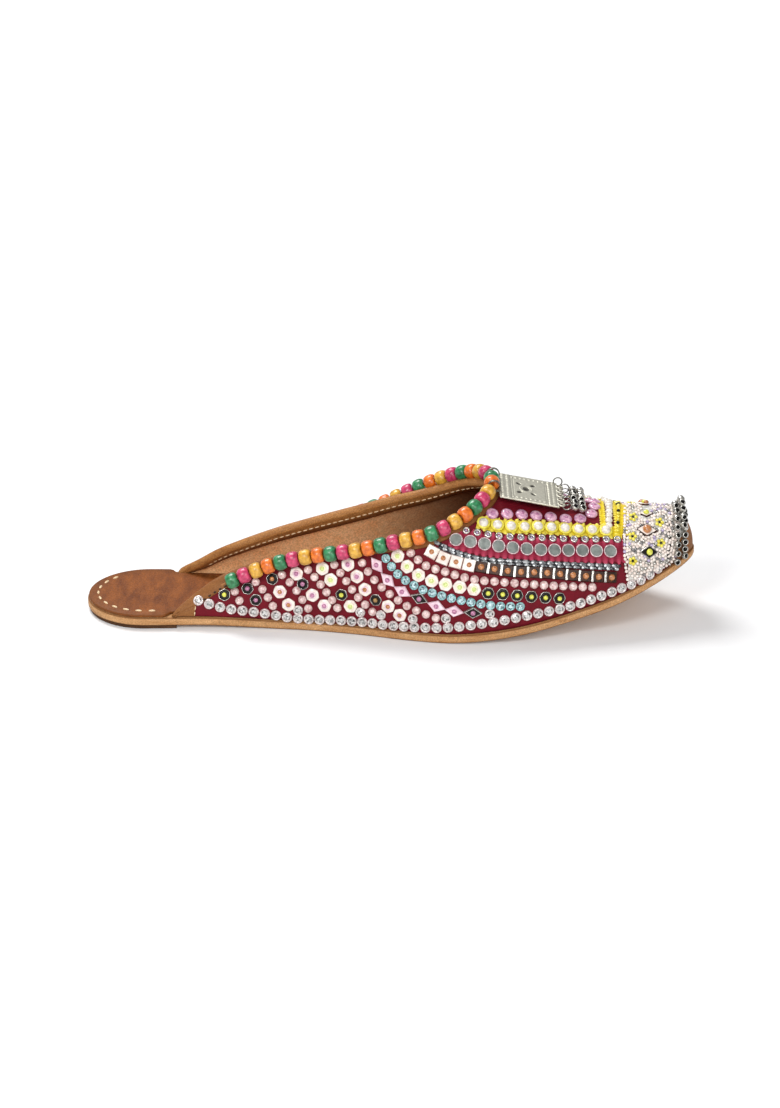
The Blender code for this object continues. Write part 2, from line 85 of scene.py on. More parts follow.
def to_frame(points):
    """Points in millimetres whose first number is a distance from the heel, in the frame's metres."""
    return (np.asarray(points) - HEEL_SHIFT) * MM


def aim(thing, place, target):
    """Put a camera or lamp at a place, in metres, and turn its -Z axis to a target."""
    thing.location = place
    thing.rotation_euler = (Vector(target) - Vector(place)).to_track_quat("-Z", "Y").to_euler()
    bpy.context.scene.collection.objects.link(thing)


camera = bpy.data.objects.new("camera", bpy.data.cameras.new("camera"))
camera.data.sensor_width = SENSOR_MM
camera.data.lens = SENSOR_MM * FOCAL_PX / PHOTO_HEIGHT
aim(camera, to_frame(EYE), to_frame(TARGET))
bpy.context.scene.camera = camera
print("lens in mm", round(camera.data.lens, 2))

# %% [markdown]
# ## Light
# The picture is lit softly from the front and from behind, and its shadow is pale. Small lamps would give
# every stone a hard spark, so three disc-shaped area lamps stand for the walls of a photo tent, and a
# faint white sky fills the shadows.

# %% Light
LAMP_TARGET = (0.0, 0.0, 0.02)
SKY_TONE = "#fbfbff"
SKY_STRENGTH = 0.36

Lamp = namedtuple("Lamp", "name place size power")
LAMPS = (
    Lamp("key_softbox", (-0.45, -0.85, 0.85), 0.45, 7.0),
    Lamp("front_softbox", (0.35, -1.10, 0.60), 0.80, 6.8),
    Lamp("back_softbox", (-0.35, 0.50, 0.95), 0.55, 11.0),
)


def linear(code):
    """A colour from an sRGB hex code as linear numbers: straight near black, else a power of 2.4."""
    values = np.array([int(code[place:place + 2], 16) for place in (1, 3, 5)]) / 255
    values = np.where(values <= 0.04045, values / 12.92, ((values + 0.055) / 1.055) ** 2.4)
    return (*values, 1.0)


for lamp in LAMPS:
    light = bpy.data.lights.new(lamp.name, "AREA")
    light.shape = "DISK"
    light.size = lamp.size
    light.energy = lamp.power
    aim(bpy.data.objects.new(lamp.name, light), lamp.place, LAMP_TARGET)
bpy.context.scene.view_settings.view_transform = "Standard"
world = bpy.data.worlds.new("studio_sky")
bpy.context.scene.world = world
world.use_nodes = True
sky = world.node_tree.nodes["Background"]
sky.inputs["Color"].default_value = linear(SKY_TONE)
sky.inputs["Strength"].default_value = SKY_STRENGTH
print("lamps", len(LAMPS), "sky strength", SKY_STRENGTH)

# %% [markdown]
# ## Outline of the sole
# A shoe is lasted: leather and cloth are pulled over a wooden foot shape, and the sole is cut to its
# outline. An outline could be drawn by hand as a curve, but a short table with a cubic between its rows
# is the same as in the part, repeated here because this file reads only the frame. A station is a
# distance in millimetres from the back of the heel.

# %% Outline of the sole
BALL_WIDTH = 80.0
HEEL_ROUND = 26.0
TOE_ROUND = 40.0

SoleRow = namedtuple("SoleRow", "along width")

# along: part of LENGTH from the heel. width: part of BALL_WIDTH, before the ends are rounded.
SOLE_ROWS = (
    SoleRow(0.00, 0.615),
    SoleRow(0.10, 0.620),
    SoleRow(0.22, 0.603),
    SoleRow(0.29, 0.610),
    SoleRow(0.36, 0.652),
    SoleRow(0.45, 0.768),
    SoleRow(0.54, 0.925),
    SoleRow(0.60, 0.992),
    SoleRow(0.65, 1.000),
    SoleRow(0.71, 0.966),
    SoleRow(0.80, 0.830),
    SoleRow(0.88, 0.690),
    SoleRow(0.94, 0.565),
    SoleRow(1.00, 0.440),
)


def cubic(places, values, wanted):
    """Values between places: a cubic in each interval, with each place's slope taken from its neighbours."""
    slopes = np.gradient(values, places)
    left = np.clip(np.searchsorted(places, wanted) - 1, 0, len(places) - 2)
    step = places[left + 1] - places[left]
    part = (wanted - places[left]) / step
    rise = values[left + 1] - values[left]
    start = slopes[left] * step
    end = slopes[left + 1] * step
    square = 3 * rise - 2 * start - end
    cube = start + end - 2 * rise
    return values[left] + part * (start + part * (square + part * cube))


def column(rows, label, along):
    """One column of a table at parts of the shoe's length, by a cubic between each two rows."""
    places = np.array([row.along for row in rows])
    values = np.array([getattr(row, label) for row in rows])
    return cubic(places, values, np.asarray(along, dtype=float))


def quarter_round(part):
    """Rises from 0 to 1 like a quarter circle while part goes from 0 to 1, and stays at 1."""
    part = np.clip(part, 0.0, 1.0)
    return np.sqrt(1.0 - (1.0 - part) ** 2)


def sole_half(station):
    """Half of the sole's width: the table's width, with a round heel and a rounded toe."""
    half = BALL_WIDTH / 2 * column(SOLE_ROWS, "width", station / LENGTH)
    return half * quarter_round(station / HEEL_ROUND) * quarter_round((LENGTH - station) / TOE_ROUND)


print("widest place of the sole in mm", round(2 * float(sole_half(np.arange(LENGTH)).max()), 1))

# %% [markdown]
# ## Heights of the sole
# The sole stands on a thin lift at the heel, lies flat at the tread and springs up at the toe. Bending a
# flat mesh with a modifier would only come near that, so the height is a formula of the station, and
# every layer of leather is built on it.

# %% Heights of the sole
TOE_SPRING = 25.5
HEEL_RAISE = 1.5
SOLE_THICK = 3.8
HEEL_FLAT_END = 46.0
WAIST_START = 88.0
ROLL_START = 150.0
ROLL_POWER = 1.85


def ease(part):
    """Goes from 0 to 1 with no slope at either end."""
    part = np.clip(part, 0.0, 1.0)
    return part * part * (3.0 - 2.0 * part)


def underside(station):
    """Height of the sole's underside: raised on the heel lift, flat at the tread, sprung at the toe."""
    heel = HEEL_RAISE * (1.0 - ease((station - HEEL_FLAT_END) / (WAIST_START - HEEL_FLAT_END)))
    roll = np.clip((station - ROLL_START) / (LENGTH - ROLL_START), 0.0, None)
    return heel + TOE_SPRING * roll ** ROLL_POWER


def sole_top(station):
    """Height of the sole's upper face."""
    return underside(station) + SOLE_THICK


def heel_to_toe(count):
    """Stations from heel to toe, close together at both ends where the outline turns."""
    return LENGTH * (1.0 - np.cos(np.linspace(0.0, math.pi, count))) / 2


def inset_outline(inset, station):
    """Stations and half widths of the sole's outline, moved square inwards."""
    half = sole_half(station)
    along = np.gradient(station, edge_order=2)
    across = np.gradient(half, edge_order=2)
    reach = np.hypot(along, across)
    return station + inset * across / reach, half - inset * along / reach


print("the toe stands off the floor in mm", round(float(underside(LENGTH)), 1))

# %% [markdown]
# ## Arch of the upper
# Across the foot the upper is an arch, high over the instep, low at the toe and open at the collar. It
# could be sculpted, but as a formula of the station and the side, every later piece can ask for the
# height under it.

# %% Arch of the upper
INSTEP = 55.0
GAP = 0.3
FEATHER_MARGIN = 1.0
THROAT = 175.0
THROAT_ROUND_START = 138.0
THROAT_POWER = 2.1
ARCH_POWER = 2.1
TOE_RISE = 13.0
FINE_STEPS = 400
SMALL = 1e-6

UpperRow = namedtuple("UpperRow", "along arch opening")

# arch: part of INSTEP, the ridge's height above the sole. opening: part of BALL_WIDTH at the collar.
UPPER_ROWS = (
    UpperRow(0.14, 0.10, 0.540),
    UpperRow(0.17, 0.18, 0.485),
    UpperRow(0.21, 0.33, 0.410),
    UpperRow(0.25, 0.44, 0.375),
    UpperRow(0.30, 0.57, 0.380),
    UpperRow(0.36, 0.705, 0.430),
    UpperRow(0.42, 0.825, 0.505),
    UpperRow(0.49, 0.935, 0.595),
    UpperRow(0.55, 0.985, 0.660),
    UpperRow(0.61, 0.98, 0.700),
    UpperRow(0.67, 0.90, 0.710),
    UpperRow(0.76, 0.72, 0.710),
    UpperRow(0.86, 0.54, 0.710),
    UpperRow(0.93, 0.43, 0.710),
    UpperRow(1.00, 0.33, 0.710),
)


def opening_half(station):
    """Half of the collar's opening, seen from above: the table's width, rounded off at the throat."""
    half = BALL_WIDTH / 2 * column(UPPER_ROWS, "opening", station / LENGTH)
    part = np.clip((station - THROAT_ROUND_START) / (THROAT - THROAT_ROUND_START), 0.0, 1.0)
    return half * (1.0 - part ** THROAT_POWER) ** (1.0 / THROAT_POWER)


OUTLINE_STATION, OUTLINE_HALF = inset_outline(FEATHER_MARGIN, heel_to_toe(FINE_STEPS))


def vamp_base(station):
    """Half of the width that the upper covers where it meets the sole."""
    return np.maximum(np.interp(station, OUTLINE_STATION, OUTLINE_HALF), SMALL)


def vamp_height(station, y):
    """Height of the upper's outer face: a full ellipse across the sole, rounded down at the toe's tip."""
    ridge = INSTEP * column(UPPER_ROWS, "arch", station / LENGTH)
    ridge = ridge * quarter_round((LENGTH - FEATHER_MARGIN - station) / TOE_RISE)
    side = np.clip(np.abs(y) / vamp_base(station), 0.0, 1.0)
    return sole_top(station) + GAP + ridge * (1.0 - side ** ARCH_POWER) ** (1.0 / ARCH_POWER)


def raised(plan):
    """Points of the upper over places (station, y) in plan, each at the upper's height there."""
    return np.concatenate((plan, vamp_height(plan[..., 0], plan[..., 1])[..., None]), axis=-1)


print("throat height in mm", round(float(vamp_height(THROAT, 0.0)), 1))

# %% [markdown]
# ## Grid of the upper
# The cloth is pulled up from the sole to the collar. Cutting a hole into a closed form would leave a
# ragged edge, so the grid's lines climb from the one border to the other, from the rear corner round the
# toe, and both borders are the real edges of the upper.

# %% Grid of the upper
REAR_STATION = 38.5
COLLAR_REAR = 46.0
# Turns a point of the near side into its twin on the far side.
MIRRORED = np.array((1.0, -1.0, 1.0))


def distances(line):
    """Distance of each point along a line of points."""
    return np.concatenate(([0.0], np.cumsum(np.linalg.norm(np.diff(line, axis=0), axis=1))))


def between(wanted, run, table):
    """Rows of a table at wanted distances along its line, straight from one row to the next."""
    return np.stack([np.interp(wanted, run, part) for part in table.T], axis=1)


def by_length(points, count):
    """Points at equal steps along a line of points."""
    run = distances(points)
    return between(np.linspace(0.0, run[-1], count), run, points)


def vamp_grid(lines_half, rows):
    """Outer points of the upper: lines from the rear corner round the toe, rows from sole to collar."""
    ahead = OUTLINE_STATION > REAR_STATION
    foot_station = np.concatenate(([REAR_STATION], OUTLINE_STATION[ahead]))
    foot = by_length(np.stack((foot_station, -vamp_base(foot_station)), axis=1), lines_half + 1)
    part = np.sin(np.linspace(0.0, math.pi / 2, FINE_STEPS))
    top_station = COLLAR_REAR + (THROAT - COLLAR_REAR) * part
    top = by_length(np.stack((top_station, -opening_half(top_station)), axis=1), lines_half + 1)
    spread = np.linspace(0.0, 1.0, FINE_STEPS)[:, None] ** 2
    plan = foot[:, None] + (top - foot)[:, None] * spread
    near = np.stack([by_length(line, rows + 1) for line in raised(plan)])
    near[-1, :, 1] = 0.0
    return np.concatenate((near, near[-2::-1] * MIRRORED))


def unit(vectors):
    """Vectors scaled to length 1."""
    return vectors / np.linalg.norm(vectors, axis=-1, keepdims=True)


def grid_normals(grid):
    """Unit normals of a grid of points, level along its lower edge."""
    normal = np.cross(np.gradient(grid, axis=0), np.gradient(grid, axis=1))
    normal[:, 0, 2] = 0.0
    return unit(normal)


print("rows and columns of a coarse grid", vamp_grid(6, 4).shape[:2])

# %% [markdown]
# ## Places on the upper
# Ornaments are sewn square onto the cloth. A shrinkwrap modifier could press them on, but it would bend
# them, so points are moved onto the upper in a few Newton steps. A place in the picture is found on the
# upper by following its line of sight.

# %% Places on the upper
SIGHT_REACH = 70.0
NORMAL_STEP = 0.2
SETTLE_ROUNDS = 4


def vamp_normal(points):
    """Unit normals of the upper from its slopes, measured over a short step inside the outline."""
    station = points[..., 0]
    limit = vamp_base(station) - 2 * NORMAL_STEP
    y = np.clip(points[..., 1], -limit, limit)
    along = vamp_height(station + NORMAL_STEP, y) - vamp_height(station - NORMAL_STEP, y)
    across = vamp_height(station, y + NORMAL_STEP) - vamp_height(station, y - NORMAL_STEP)
    return unit(np.stack((-along, -across, 2 * NORMAL_STEP + 0 * station), axis=-1))


def settle(points):
    """Points moved square onto the upper in a few Newton steps, each by the height still over it."""
    for _ in range(SETTLE_ROUNDS):
        normal = vamp_normal(points)
        over = (points[..., 2] - vamp_height(points[..., 0], points[..., 1])) * normal[..., 2]
        points = points - over[..., None] * normal
    return points


def on_vamp(pixels):
    """Where the line of sight through each place in the picture first meets the upper."""
    pixels = np.asarray(pixels, dtype=float)
    across = (pixels[:, 0] - PHOTO_WIDTH / 2) / FOCAL_PX
    down = (pixels[:, 1] - PHOTO_HEIGHT / 2) / FOCAL_PX
    way = -BACK + across[:, None] * RIGHT - down[:, None] * UP
    depth = EYE_DISTANCE + np.linspace(-SIGHT_REACH, SIGHT_REACH, FINE_STEPS)
    points = EYE + depth[None, :, None] * way[:, None]
    above = points[..., 2] - vamp_height(points[..., 0], points[..., 1])
    above = np.where(np.abs(points[..., 1]) < vamp_base(points[..., 0]), above, SIGHT_REACH)
    inside = above < 0.0
    first = np.where(inside.any(axis=1), np.argmax(inside, axis=1), np.argmin(above, axis=1))
    return settle(points[np.arange(len(pixels)), first])


picture_middle = (PHOTO_WIDTH / 2, PHOTO_HEIGHT / 2)
print("the picture's middle meets the upper at", on_vamp([picture_middle])[0].round(1))

# %% [markdown]
# ## A small kit for finishes
# A finish in Blender is a tree of shader nodes. Setting nodes up one by one fills pages, so one function
# adds a node with its settings and its links, and another starts a Principled material with the values
# that stay constant.

# %% A small kit for finishes


def add_node(tree, kind, settings=None, **inputs):
    """A shader node: settings are its own properties, inputs are numbers for its sockets or links to them.

    A socket goes by its label, with _ for a blank, or by its number, as in i0.
    """
    made = tree.nodes.new(kind)
    for name, value in (settings or {}).items():
        setattr(made, name, value)
    for name, value in inputs.items():
        socket = made.inputs[int(name[1:])] if name[1:].isdigit() else made.inputs[name.replace("_", " ")]
        if isinstance(value, bpy.types.NodeSocket):
            tree.links.new(value, socket)
        else:
            socket.default_value = value
    return made


def start_finish(name, **sockets):
    """A Principled material with constants on the shader's own sockets; gives material, tree and shader."""
    finish = bpy.data.materials.new(name)
    finish.use_nodes = True
    shader = finish.node_tree.nodes["Principled BSDF"]
    for label, value in sockets.items():
        shader.inputs[label.replace("_", " ")].default_value = value
    return finish, finish.node_tree, shader


print("nodes can be added")

# %% [markdown]
# ## Leather
# The sole, lift, insole, lining and binding are all tanned hide. Hide shows two browns in soft cloudy
# streaks, a pebbled grain about half a millimetre across, and darker cut edges where it is burnished.
# The grain is drawn up to three times as coarse, so that it shows. One recipe with different colours,
# grain and gloss gives each its own look, and an attribute named edge says where a piece is dark from
# burnishing, wax or wear; on the lining it carries painted shade towards the throat.

# %% Leather finishes


def leather(name, light, dark, streak_mm, grain_mm, roughness, depth_mm, edge_tone, speck_low=0.55):
    """Cloudy streaks of two browns times a speckle, dark edges, and a grain that lifts surface and gloss."""
    finish, tree, shader = start_finish(name, Specular_IOR_Level=0.2)
    place = add_node(tree, "ShaderNodeTexCoord").outputs["Object"]
    streak = [1 / (size * MM) for size in streak_mm]
    drawn = add_node(tree, "ShaderNodeMapping", Vector=place, Scale=streak).outputs["Vector"]
    cloud = add_node(tree, "ShaderNodeTexNoise", Vector=drawn, Scale=1.0, Detail=6.0, Roughness=0.65)
    grain = add_node(tree, "ShaderNodeTexVoronoi", Vector=place, Scale=1 / (grain_mm * MM), Randomness=1.0)
    fibre = add_node(tree, "ShaderNodeTexNoise", Vector=place, Scale=2 / (grain_mm * MM), Detail=3.0)
    spread = add_node(tree, "ShaderNodeMapRange", Value=cloud.outputs["Fac"], From_Min=0.32, From_Max=0.70)
    tone = add_node(tree, "ShaderNodeMix", {"data_type": "RGBA"}, i0=spread.outputs["Result"],
                    i6=linear(dark), i7=linear(light))
    speck = add_node(tree, "ShaderNodeMapRange", Value=fibre.outputs["Fac"], From_Min=0.35, From_Max=0.75,
                     To_Min=speck_low, To_Max=1.20)
    broken = add_node(tree, "ShaderNodeMix", {"data_type": "RGBA", "blend_type": "MULTIPLY"}, i0=1.0,
                      i6=tone.outputs[2], i7=speck.outputs["Result"])
    edge = add_node(tree, "ShaderNodeAttribute", {"attribute_name": "edge"})
    burnished = add_node(tree, "ShaderNodeMix", {"data_type": "RGBA"}, i0=edge.outputs["Fac"],
                         i6=broken.outputs[2], i7=linear(edge_tone))
    gloss = add_node(tree, "ShaderNodeMapRange", Value=grain.outputs["Distance"], From_Min=0.0, From_Max=0.8,
                     To_Min=roughness - 0.08, To_Max=roughness + 0.12)
    lift = add_node(tree, "ShaderNodeBump", Height=grain.outputs["Distance"], Strength=0.35,
                    Distance=depth_mm * MM)
    tree.links.new(burnished.outputs[2], shader.inputs["Base Color"])
    tree.links.new(gloss.outputs["Result"], shader.inputs["Roughness"])
    tree.links.new(lift.outputs["Normal"], shader.inputs["Normal"])
    return finish


# Vegetable-tanned cowhide with a cut edge: pale tan, dry, with long fibres along the edge.
sole_leather = leather(
    "veg_tanned_sole_leather", "#efbd86", "#c48d58", streak_mm=(16.67, 6.25, 2.38), grain_mm=0.9,
    roughness=0.60, depth_mm=0.25, edge_tone="#70451f")
# The lift is a thinner, darker split under the heel, worn matt.
lift_leather = leather(
    "dark_lift_leather", "#6d4a2c", "#4a2f1a", streak_mm=(12.5, 6.25, 2.38), grain_mm=0.6,
    roughness=0.70, depth_mm=0.25, edge_tone="#2e1c0f")
# The insole is smooth brown hide, polished by use, with long soft streaks.
insole_leather = leather(
    "polished_insole_leather", "#9a5720", "#6b3610", streak_mm=(5.0, 14.29, 5.0), grain_mm=1.1,
    roughness=0.55, depth_mm=0.12, edge_tone="#6a3d17")
# The lining is napped tan hide: rough side out, mottled and without gloss.
# Its edge tone serves only as painted shade, darkening the lining towards the throat.
lining_leather = leather(
    "napped_lining_leather", "#ffcd98", "#f8b67c", streak_mm=(4.545, 4.545, 4.545), grain_mm=1.5,
    roughness=0.82, depth_mm=0.35, edge_tone="#55290f", speck_low=0.72)
# The binding is thin goat leather, waxed and pulled tight over the edge.
binding_leather = leather(
    "waxed_binding_leather", "#d69a5a", "#ad723a", streak_mm=(14.29, 4.167, 4.167), grain_mm=0.9,
    roughness=0.50, depth_mm=0.12, edge_tone="#6a3c18")
hides = (sole_leather, lift_leather, insole_leather, lining_leather, binding_leather)
print("leather finishes", len(hides))

# %% [markdown]
# ## A small kit for meshes
# Every piece below is a set of whole arrays: points, and faces as index tables with three or four
# corners. Editing tools could draw the same by hand, but arrays keep every dimension in the file. One
# function puts them into a mesh, turns closed bodies outwards and hands the piece to its body.

# %% A small kit for meshes


def make_piece(name, points, faces, finish, body="shoe", smooth=True, values=None, slot=None):
    """A mesh piece from points in millimetres and index tables, with its faces turned outwards."""
    mesh = bpy.data.meshes.new(name)
    sizes = np.concatenate([np.full(len(table), table.shape[1]) for table in faces])
    corners = np.concatenate([table.ravel() for table in faces])
    mesh.vertices.add(len(points))
    mesh.vertices.foreach_set("co", to_frame(points).astype(np.float32).ravel())
    mesh.loops.add(len(corners))
    mesh.loops.foreach_set("vertex_index", corners.astype(np.int32))
    mesh.polygons.add(len(sizes))
    mesh.polygons.foreach_set("loop_start", (np.cumsum(sizes) - sizes).astype(np.int32))
    mesh.update(calc_edges=True)
    work = bmesh.new()
    work.from_mesh(mesh)
    bmesh.ops.recalc_face_normals(work, faces=work.faces)
    work.to_mesh(mesh)
    work.free()
    mesh.polygons.foreach_set("use_smooth", np.full(len(sizes), smooth))
    for label, numbers in (values or {}).items():
        store = mesh.attributes.new(label, "FLOAT", "POINT")
        store.data.foreach_set("value", np.asarray(numbers, dtype=np.float32))
    mesh.materials.append(finish)
    piece = bpy.data.objects.new(name, mesh)
    bpy.context.scene.collection.objects.link(piece)
    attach(piece, body)
    return piece


def grid_faces(rows, columns, wrap=False, loop=False):
    """Quads between neighbours in a table of points; wrap closes the columns into a ring, loop the rows."""
    number = np.arange(rows * columns).reshape(rows, columns)
    if wrap:
        number = np.concatenate((number, number[:, :1]), axis=1)
    if loop:
        number = np.concatenate((number, number[:1]))
    cells = (number[:-1, :-1], number[1:, :-1], number[1:, 1:], number[:-1, 1:])
    return np.stack(cells, axis=-1).reshape(-1, 4)


print("quads between three rows of four points", len(grid_faces(3, 4)))

# %% [markdown]
# ## Sole, heel lift and insole
# Each is a flat layer cut to the last's outline. Extruding an outline leaves knife-sharp edges, so each
# layer here is a stack of rings: the outline moved inwards by a few tenths of a millimetre near the top
# and bottom, which rounds the edge the way a burnishing wheel does.

# %% Sole, heel lift and insole
BLUNT_END = 0.4
LAYER_STEPS = 180
INSOLE_TOP = SOLE_THICK + GAP + 1.0
INSOLE_MARGIN = 0.5
INSOLE_INSIDE = 4.1
INSOLE_STEP = 35.0
INSOLE_STEP_LENGTH = 3.0
LIFT_FRONT = 40.0
LIFT_MARGIN = 0.7
# Millimetres that keep two touching faces apart.
HAIR = 0.02

Ring = namedtuple("Ring", "inset rise edge")


def rounded_rings(low, high, corner, reach):
    """Rings from the middle of the top face round the edge to the middle of the underside."""
    side = [Ring(reach, 0.0, 0.0), Ring(corner, 0.0, 0.5), Ring(0.3 * corner, 0.3 * corner, 1.0),
            Ring(0.0, corner, 0.25)]
    top = [Ring(ring.inset, high - ring.rise, ring.edge) for ring in side]
    return top + [Ring(ring.inset, low + ring.rise, ring.edge) for ring in reversed(side)]


def layer(rings, station, margin):
    """A layer: near rings, then far rings in reverse, close each section, and strips close both ends."""
    near = []
    for ring in rings:
        along, half = inset_outline(ring.inset + margin, station)
        half = np.maximum(half, BLUNT_END)
        near.append(np.stack((along, -half, underside(along) + ring.rise), axis=1))
    near = np.stack(near, axis=1)
    section = np.concatenate((near, near[:, ::-1] * MIRRORED), axis=1)
    rows, columns = section.shape[:2]
    step = np.arange(len(rings) - 1)
    strip = np.stack((step, step + 1, columns - 2 - step, columns - 1 - step), axis=1)
    ends = np.concatenate((strip, strip[:, ::-1] + (rows - 1) * columns))
    edge = np.array([ring.edge for ring in rings])
    edges = np.tile(np.concatenate((edge, edge[::-1])), rows)
    return section.reshape(-1, 3), [np.concatenate((grid_faces(rows, columns, wrap=True), ends))], edges


full_length = heel_to_toe(LAYER_STEPS)
heel_length = LIFT_FRONT * (1.0 - np.cos(np.linspace(0.0, math.pi / 2, LAYER_STEPS // 3)))
# Forward of the wings the insole steps in, so that it lies inside the upper's wall.
step_in = ease((full_length - INSOLE_STEP) / INSOLE_STEP_LENGTH)
insole_margin = INSOLE_MARGIN + (INSOLE_INSIDE - INSOLE_MARGIN) * step_in
Layer = namedtuple("Layer", "name node finish slot low high corner reach station margin")
LAYERS = (
    Layer("sole_leather_layer", "outsole", sole_leather, "sole_leather", 0.0, SOLE_THICK, 0.8, 8.0,
          full_length, 0.0),
    Layer("heel_lift_layer", "heel_lift", lift_leather, "lift_leather", -HEEL_RAISE, -HAIR, 0.35, 6.0,
          heel_length, LIFT_MARGIN),
    Layer("insole_layer", "insole", insole_leather, "insole_leather", SOLE_THICK + HAIR, INSOLE_TOP, 0.5,
          6.0, full_length, insole_margin),
)
for part in LAYERS:
    rings = rounded_rings(part.low, part.high, part.corner, part.reach)
    points, faces, edges = layer(rings, part.station, part.margin)
    piece = make_piece(part.name, points, faces, part.finish, values={"edge": edges}, slot=part.slot)
    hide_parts(part.node)
    print(part.name, "points", len(points))

# %% [markdown]
# ## Silk finish
# The upper is covered with dyed silk, which shows a fine weave and small thick places in the thread. A
# picture of cloth could be wrapped round the shoe, but it would stretch at the toe. Two crossed sets of
# waves need no picture. They stand half a millimetre apart, coarser than real silk, so that they show.

# %% Silk finish
THREAD_MM = 0.5
SLUB_MM = 5.0
# At scale 1 a wave texture repeats after this distance.
WAVE_PERIOD = 0.314


def woven_silk(name, light, dark, thread_mm, crest=None):
    """Two crossed sine waves, warp and weft, that lift the surface; the attribute fold adds a painted
    highlight in the crest colour.
    """
    finish, tree, shader = start_finish(name, Roughness=0.66, Specular_IOR_Level=0.2)
    place = add_node(tree, "ShaderNodeTexCoord").outputs["Object"]
    waves = []
    for axis in ("X", "Z"):
        wave = add_node(tree, "ShaderNodeTexWave", {"wave_type": "BANDS", "bands_direction": axis},
                        Vector=place, Scale=WAVE_PERIOD / (thread_mm * MM), Distortion=0.6, Detail=1.0)
        waves.append(wave.outputs["Fac"])
    weave = add_node(tree, "ShaderNodeMath", {"operation": "MAXIMUM"}, i0=waves[0], i1=waves[1])
    slub = add_node(tree, "ShaderNodeTexNoise", Vector=place, Scale=1 / (SLUB_MM * MM), Detail=3.0)
    amount = add_node(tree, "ShaderNodeMath", {"operation": "MULTIPLY"}, i0=weave.outputs[0],
                      i1=slub.outputs["Fac"])
    tone = add_node(tree, "ShaderNodeMix", {"data_type": "RGBA"}, i0=amount.outputs[0],
                    i6=linear(dark), i7=linear(light))
    # Painted highlight: where the attribute fold is set, the tone goes towards the pale crest colour.
    fold = add_node(tree, "ShaderNodeAttribute", {"attribute_name": "fold"})
    highlighted = add_node(tree, "ShaderNodeMix", {"data_type": "RGBA"}, i0=fold.outputs["Fac"],
                      i6=tone.outputs[2], i7=linear(crest or light))
    lift = add_node(tree, "ShaderNodeBump", Height=weave.outputs[0], Strength=0.4, Distance=0.15 * MM)
    tree.links.new(highlighted.outputs[2], shader.inputs["Base Color"])
    tree.links.new(lift.outputs["Normal"], shader.inputs["Normal"])
    return finish


# Dyed silk: deep maroon, with a soft sheen and a fine plain weave.
maroon_silk = woven_silk("maroon_woven_silk", "#840a21", "#4e0411", THREAD_MM)
print("silk", maroon_silk.name)

# %% [markdown]
# ## Vamp and lining
# The upper is two skins pulled over the last: maroon silk outside and napped leather inside. A filled
# form would hide the foot's space, so both are thin closed sheets on one grid, and the wall between them
# is as thick as the part's.

# %% Vamp and lining
WALL = 2.2
VAMP_LINES = 120
VAMP_ROWS = 44
SILK_THICK = 1.0
# The lining is painted darker towards the throat: painted shade for the dim inside of the shoe's front.
THROAT_SHADE_FROM = 104.0
THROAT_SHADE_TONE = 0.97


def closed_sheet(outer, inner):
    """A thin closed sheet between two grids of points: both faces, and a rim of quads round the border."""
    rows, columns = outer.shape[:2]
    number = np.arange(rows * columns).reshape(rows, columns)
    rim = np.concatenate((number[:-1, 0], number[-1, :-1], number[:0:-1, -1], number[0, :0:-1]))
    after = np.roll(rim, -1)
    count = rows * columns
    border = np.stack((rim, rim + count, after + count, after), axis=1)
    face = grid_faces(rows, columns)
    points = np.concatenate((outer.reshape(-1, 3), inner.reshape(-1, 3)))
    return points, [np.concatenate((face, face[:, ::-1] + count, border))]


vamp = vamp_grid(VAMP_LINES, VAMP_ROWS)
vamp_out = grid_normals(vamp)
silk_sheet = closed_sheet(vamp, vamp - SILK_THICK * vamp_out)
silk = make_piece("vamp_silk", *silk_sheet, maroon_silk, slot="upper_fabric")
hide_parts("upper")
lining_face = vamp - (SILK_THICK + HAIR) * vamp_out
# Painted shade: the lining goes to its edge tone towards the throat, where the inside of the shoe lies in
# shadow.
painted_throat_shade = THROAT_SHADE_TONE * ease((vamp[..., 0] - THROAT_SHADE_FROM) / (THROAT - THROAT_SHADE_FROM))
make_piece("vamp_lining", *closed_sheet(lining_face, vamp - WALL * vamp_out), lining_leather,
           values={"edge": np.tile(painted_throat_shade.ravel(), 2)})
print("vamp points", vamp.shape[0] * vamp.shape[1])

# %% [markdown]
# ## Line of the collar
# The upper's free edge runs up one rear corner, round the throat and down the other corner. Leather that
# is folded over it would show every kink of the grid, so the line is divided evenly and each point is
# replaced by a mean of its neighbours.

# %% Line of the collar
RIM_STEPS = 320
RIM_EVEN = 5


def evened(line, reach):
    """A line with each point replaced by a weighted mean of its neighbours, straight past the ends."""
    weight = np.hanning(2 * reach + 3)[1:-1]
    longer = np.pad(line, ((reach, reach), (0, 0)), mode="reflect", reflect_type="odd")
    columns = [np.convolve(part, weight / weight.sum(), mode="valid") for part in longer.T]
    return np.stack(columns, axis=1)


rim = np.concatenate((vamp[0, :-1], vamp[:, -1], vamp[-1, -2::-1]))
rim = evened(by_length(rim, RIM_STEPS), RIM_EVEN)
rim_run = distances(rim)
rim_along = unit(np.gradient(rim, axis=0))
rim_out = vamp_normal(rim)
rim_down = unit(np.cross(rim_along, rim_out))
print("collar length in mm", round(float(rim_run[-1]), 1))

# %% [markdown]
# ## Collar binding
# A strip of tan leather is folded over the upper's edge and sewn through: a narrow band inside, a wide
# one outside at the rear corners. It could be a bevelled curve, but a curve would not lie flat on the
# wall, so a U-shaped section is carried along the edge and its bands are settled onto the vamp.

# %% Collar binding
BAND_INSIDE = 7.5
BAND_OUTSIDE = 4.5
BAND_REAR = 6.4
BAND_THICK = 0.7
BAND_SEAT = 0.03
# Distances along the collar from its rear ends: the wide band ends, it narrows, and its tip is tapered.
WIDE_BAND_END = 22.0
NARROWING = 45.0
TAPER_LENGTH = 16.0
TAPER_LEAST = 0.25
# How dark the leather is: on the outer band, which is waxed and worn, at the cut borders and on the fold.
OUTER_TONE = 0.74
CUT_TONE = 0.8
FOLD_TONE = 0.35

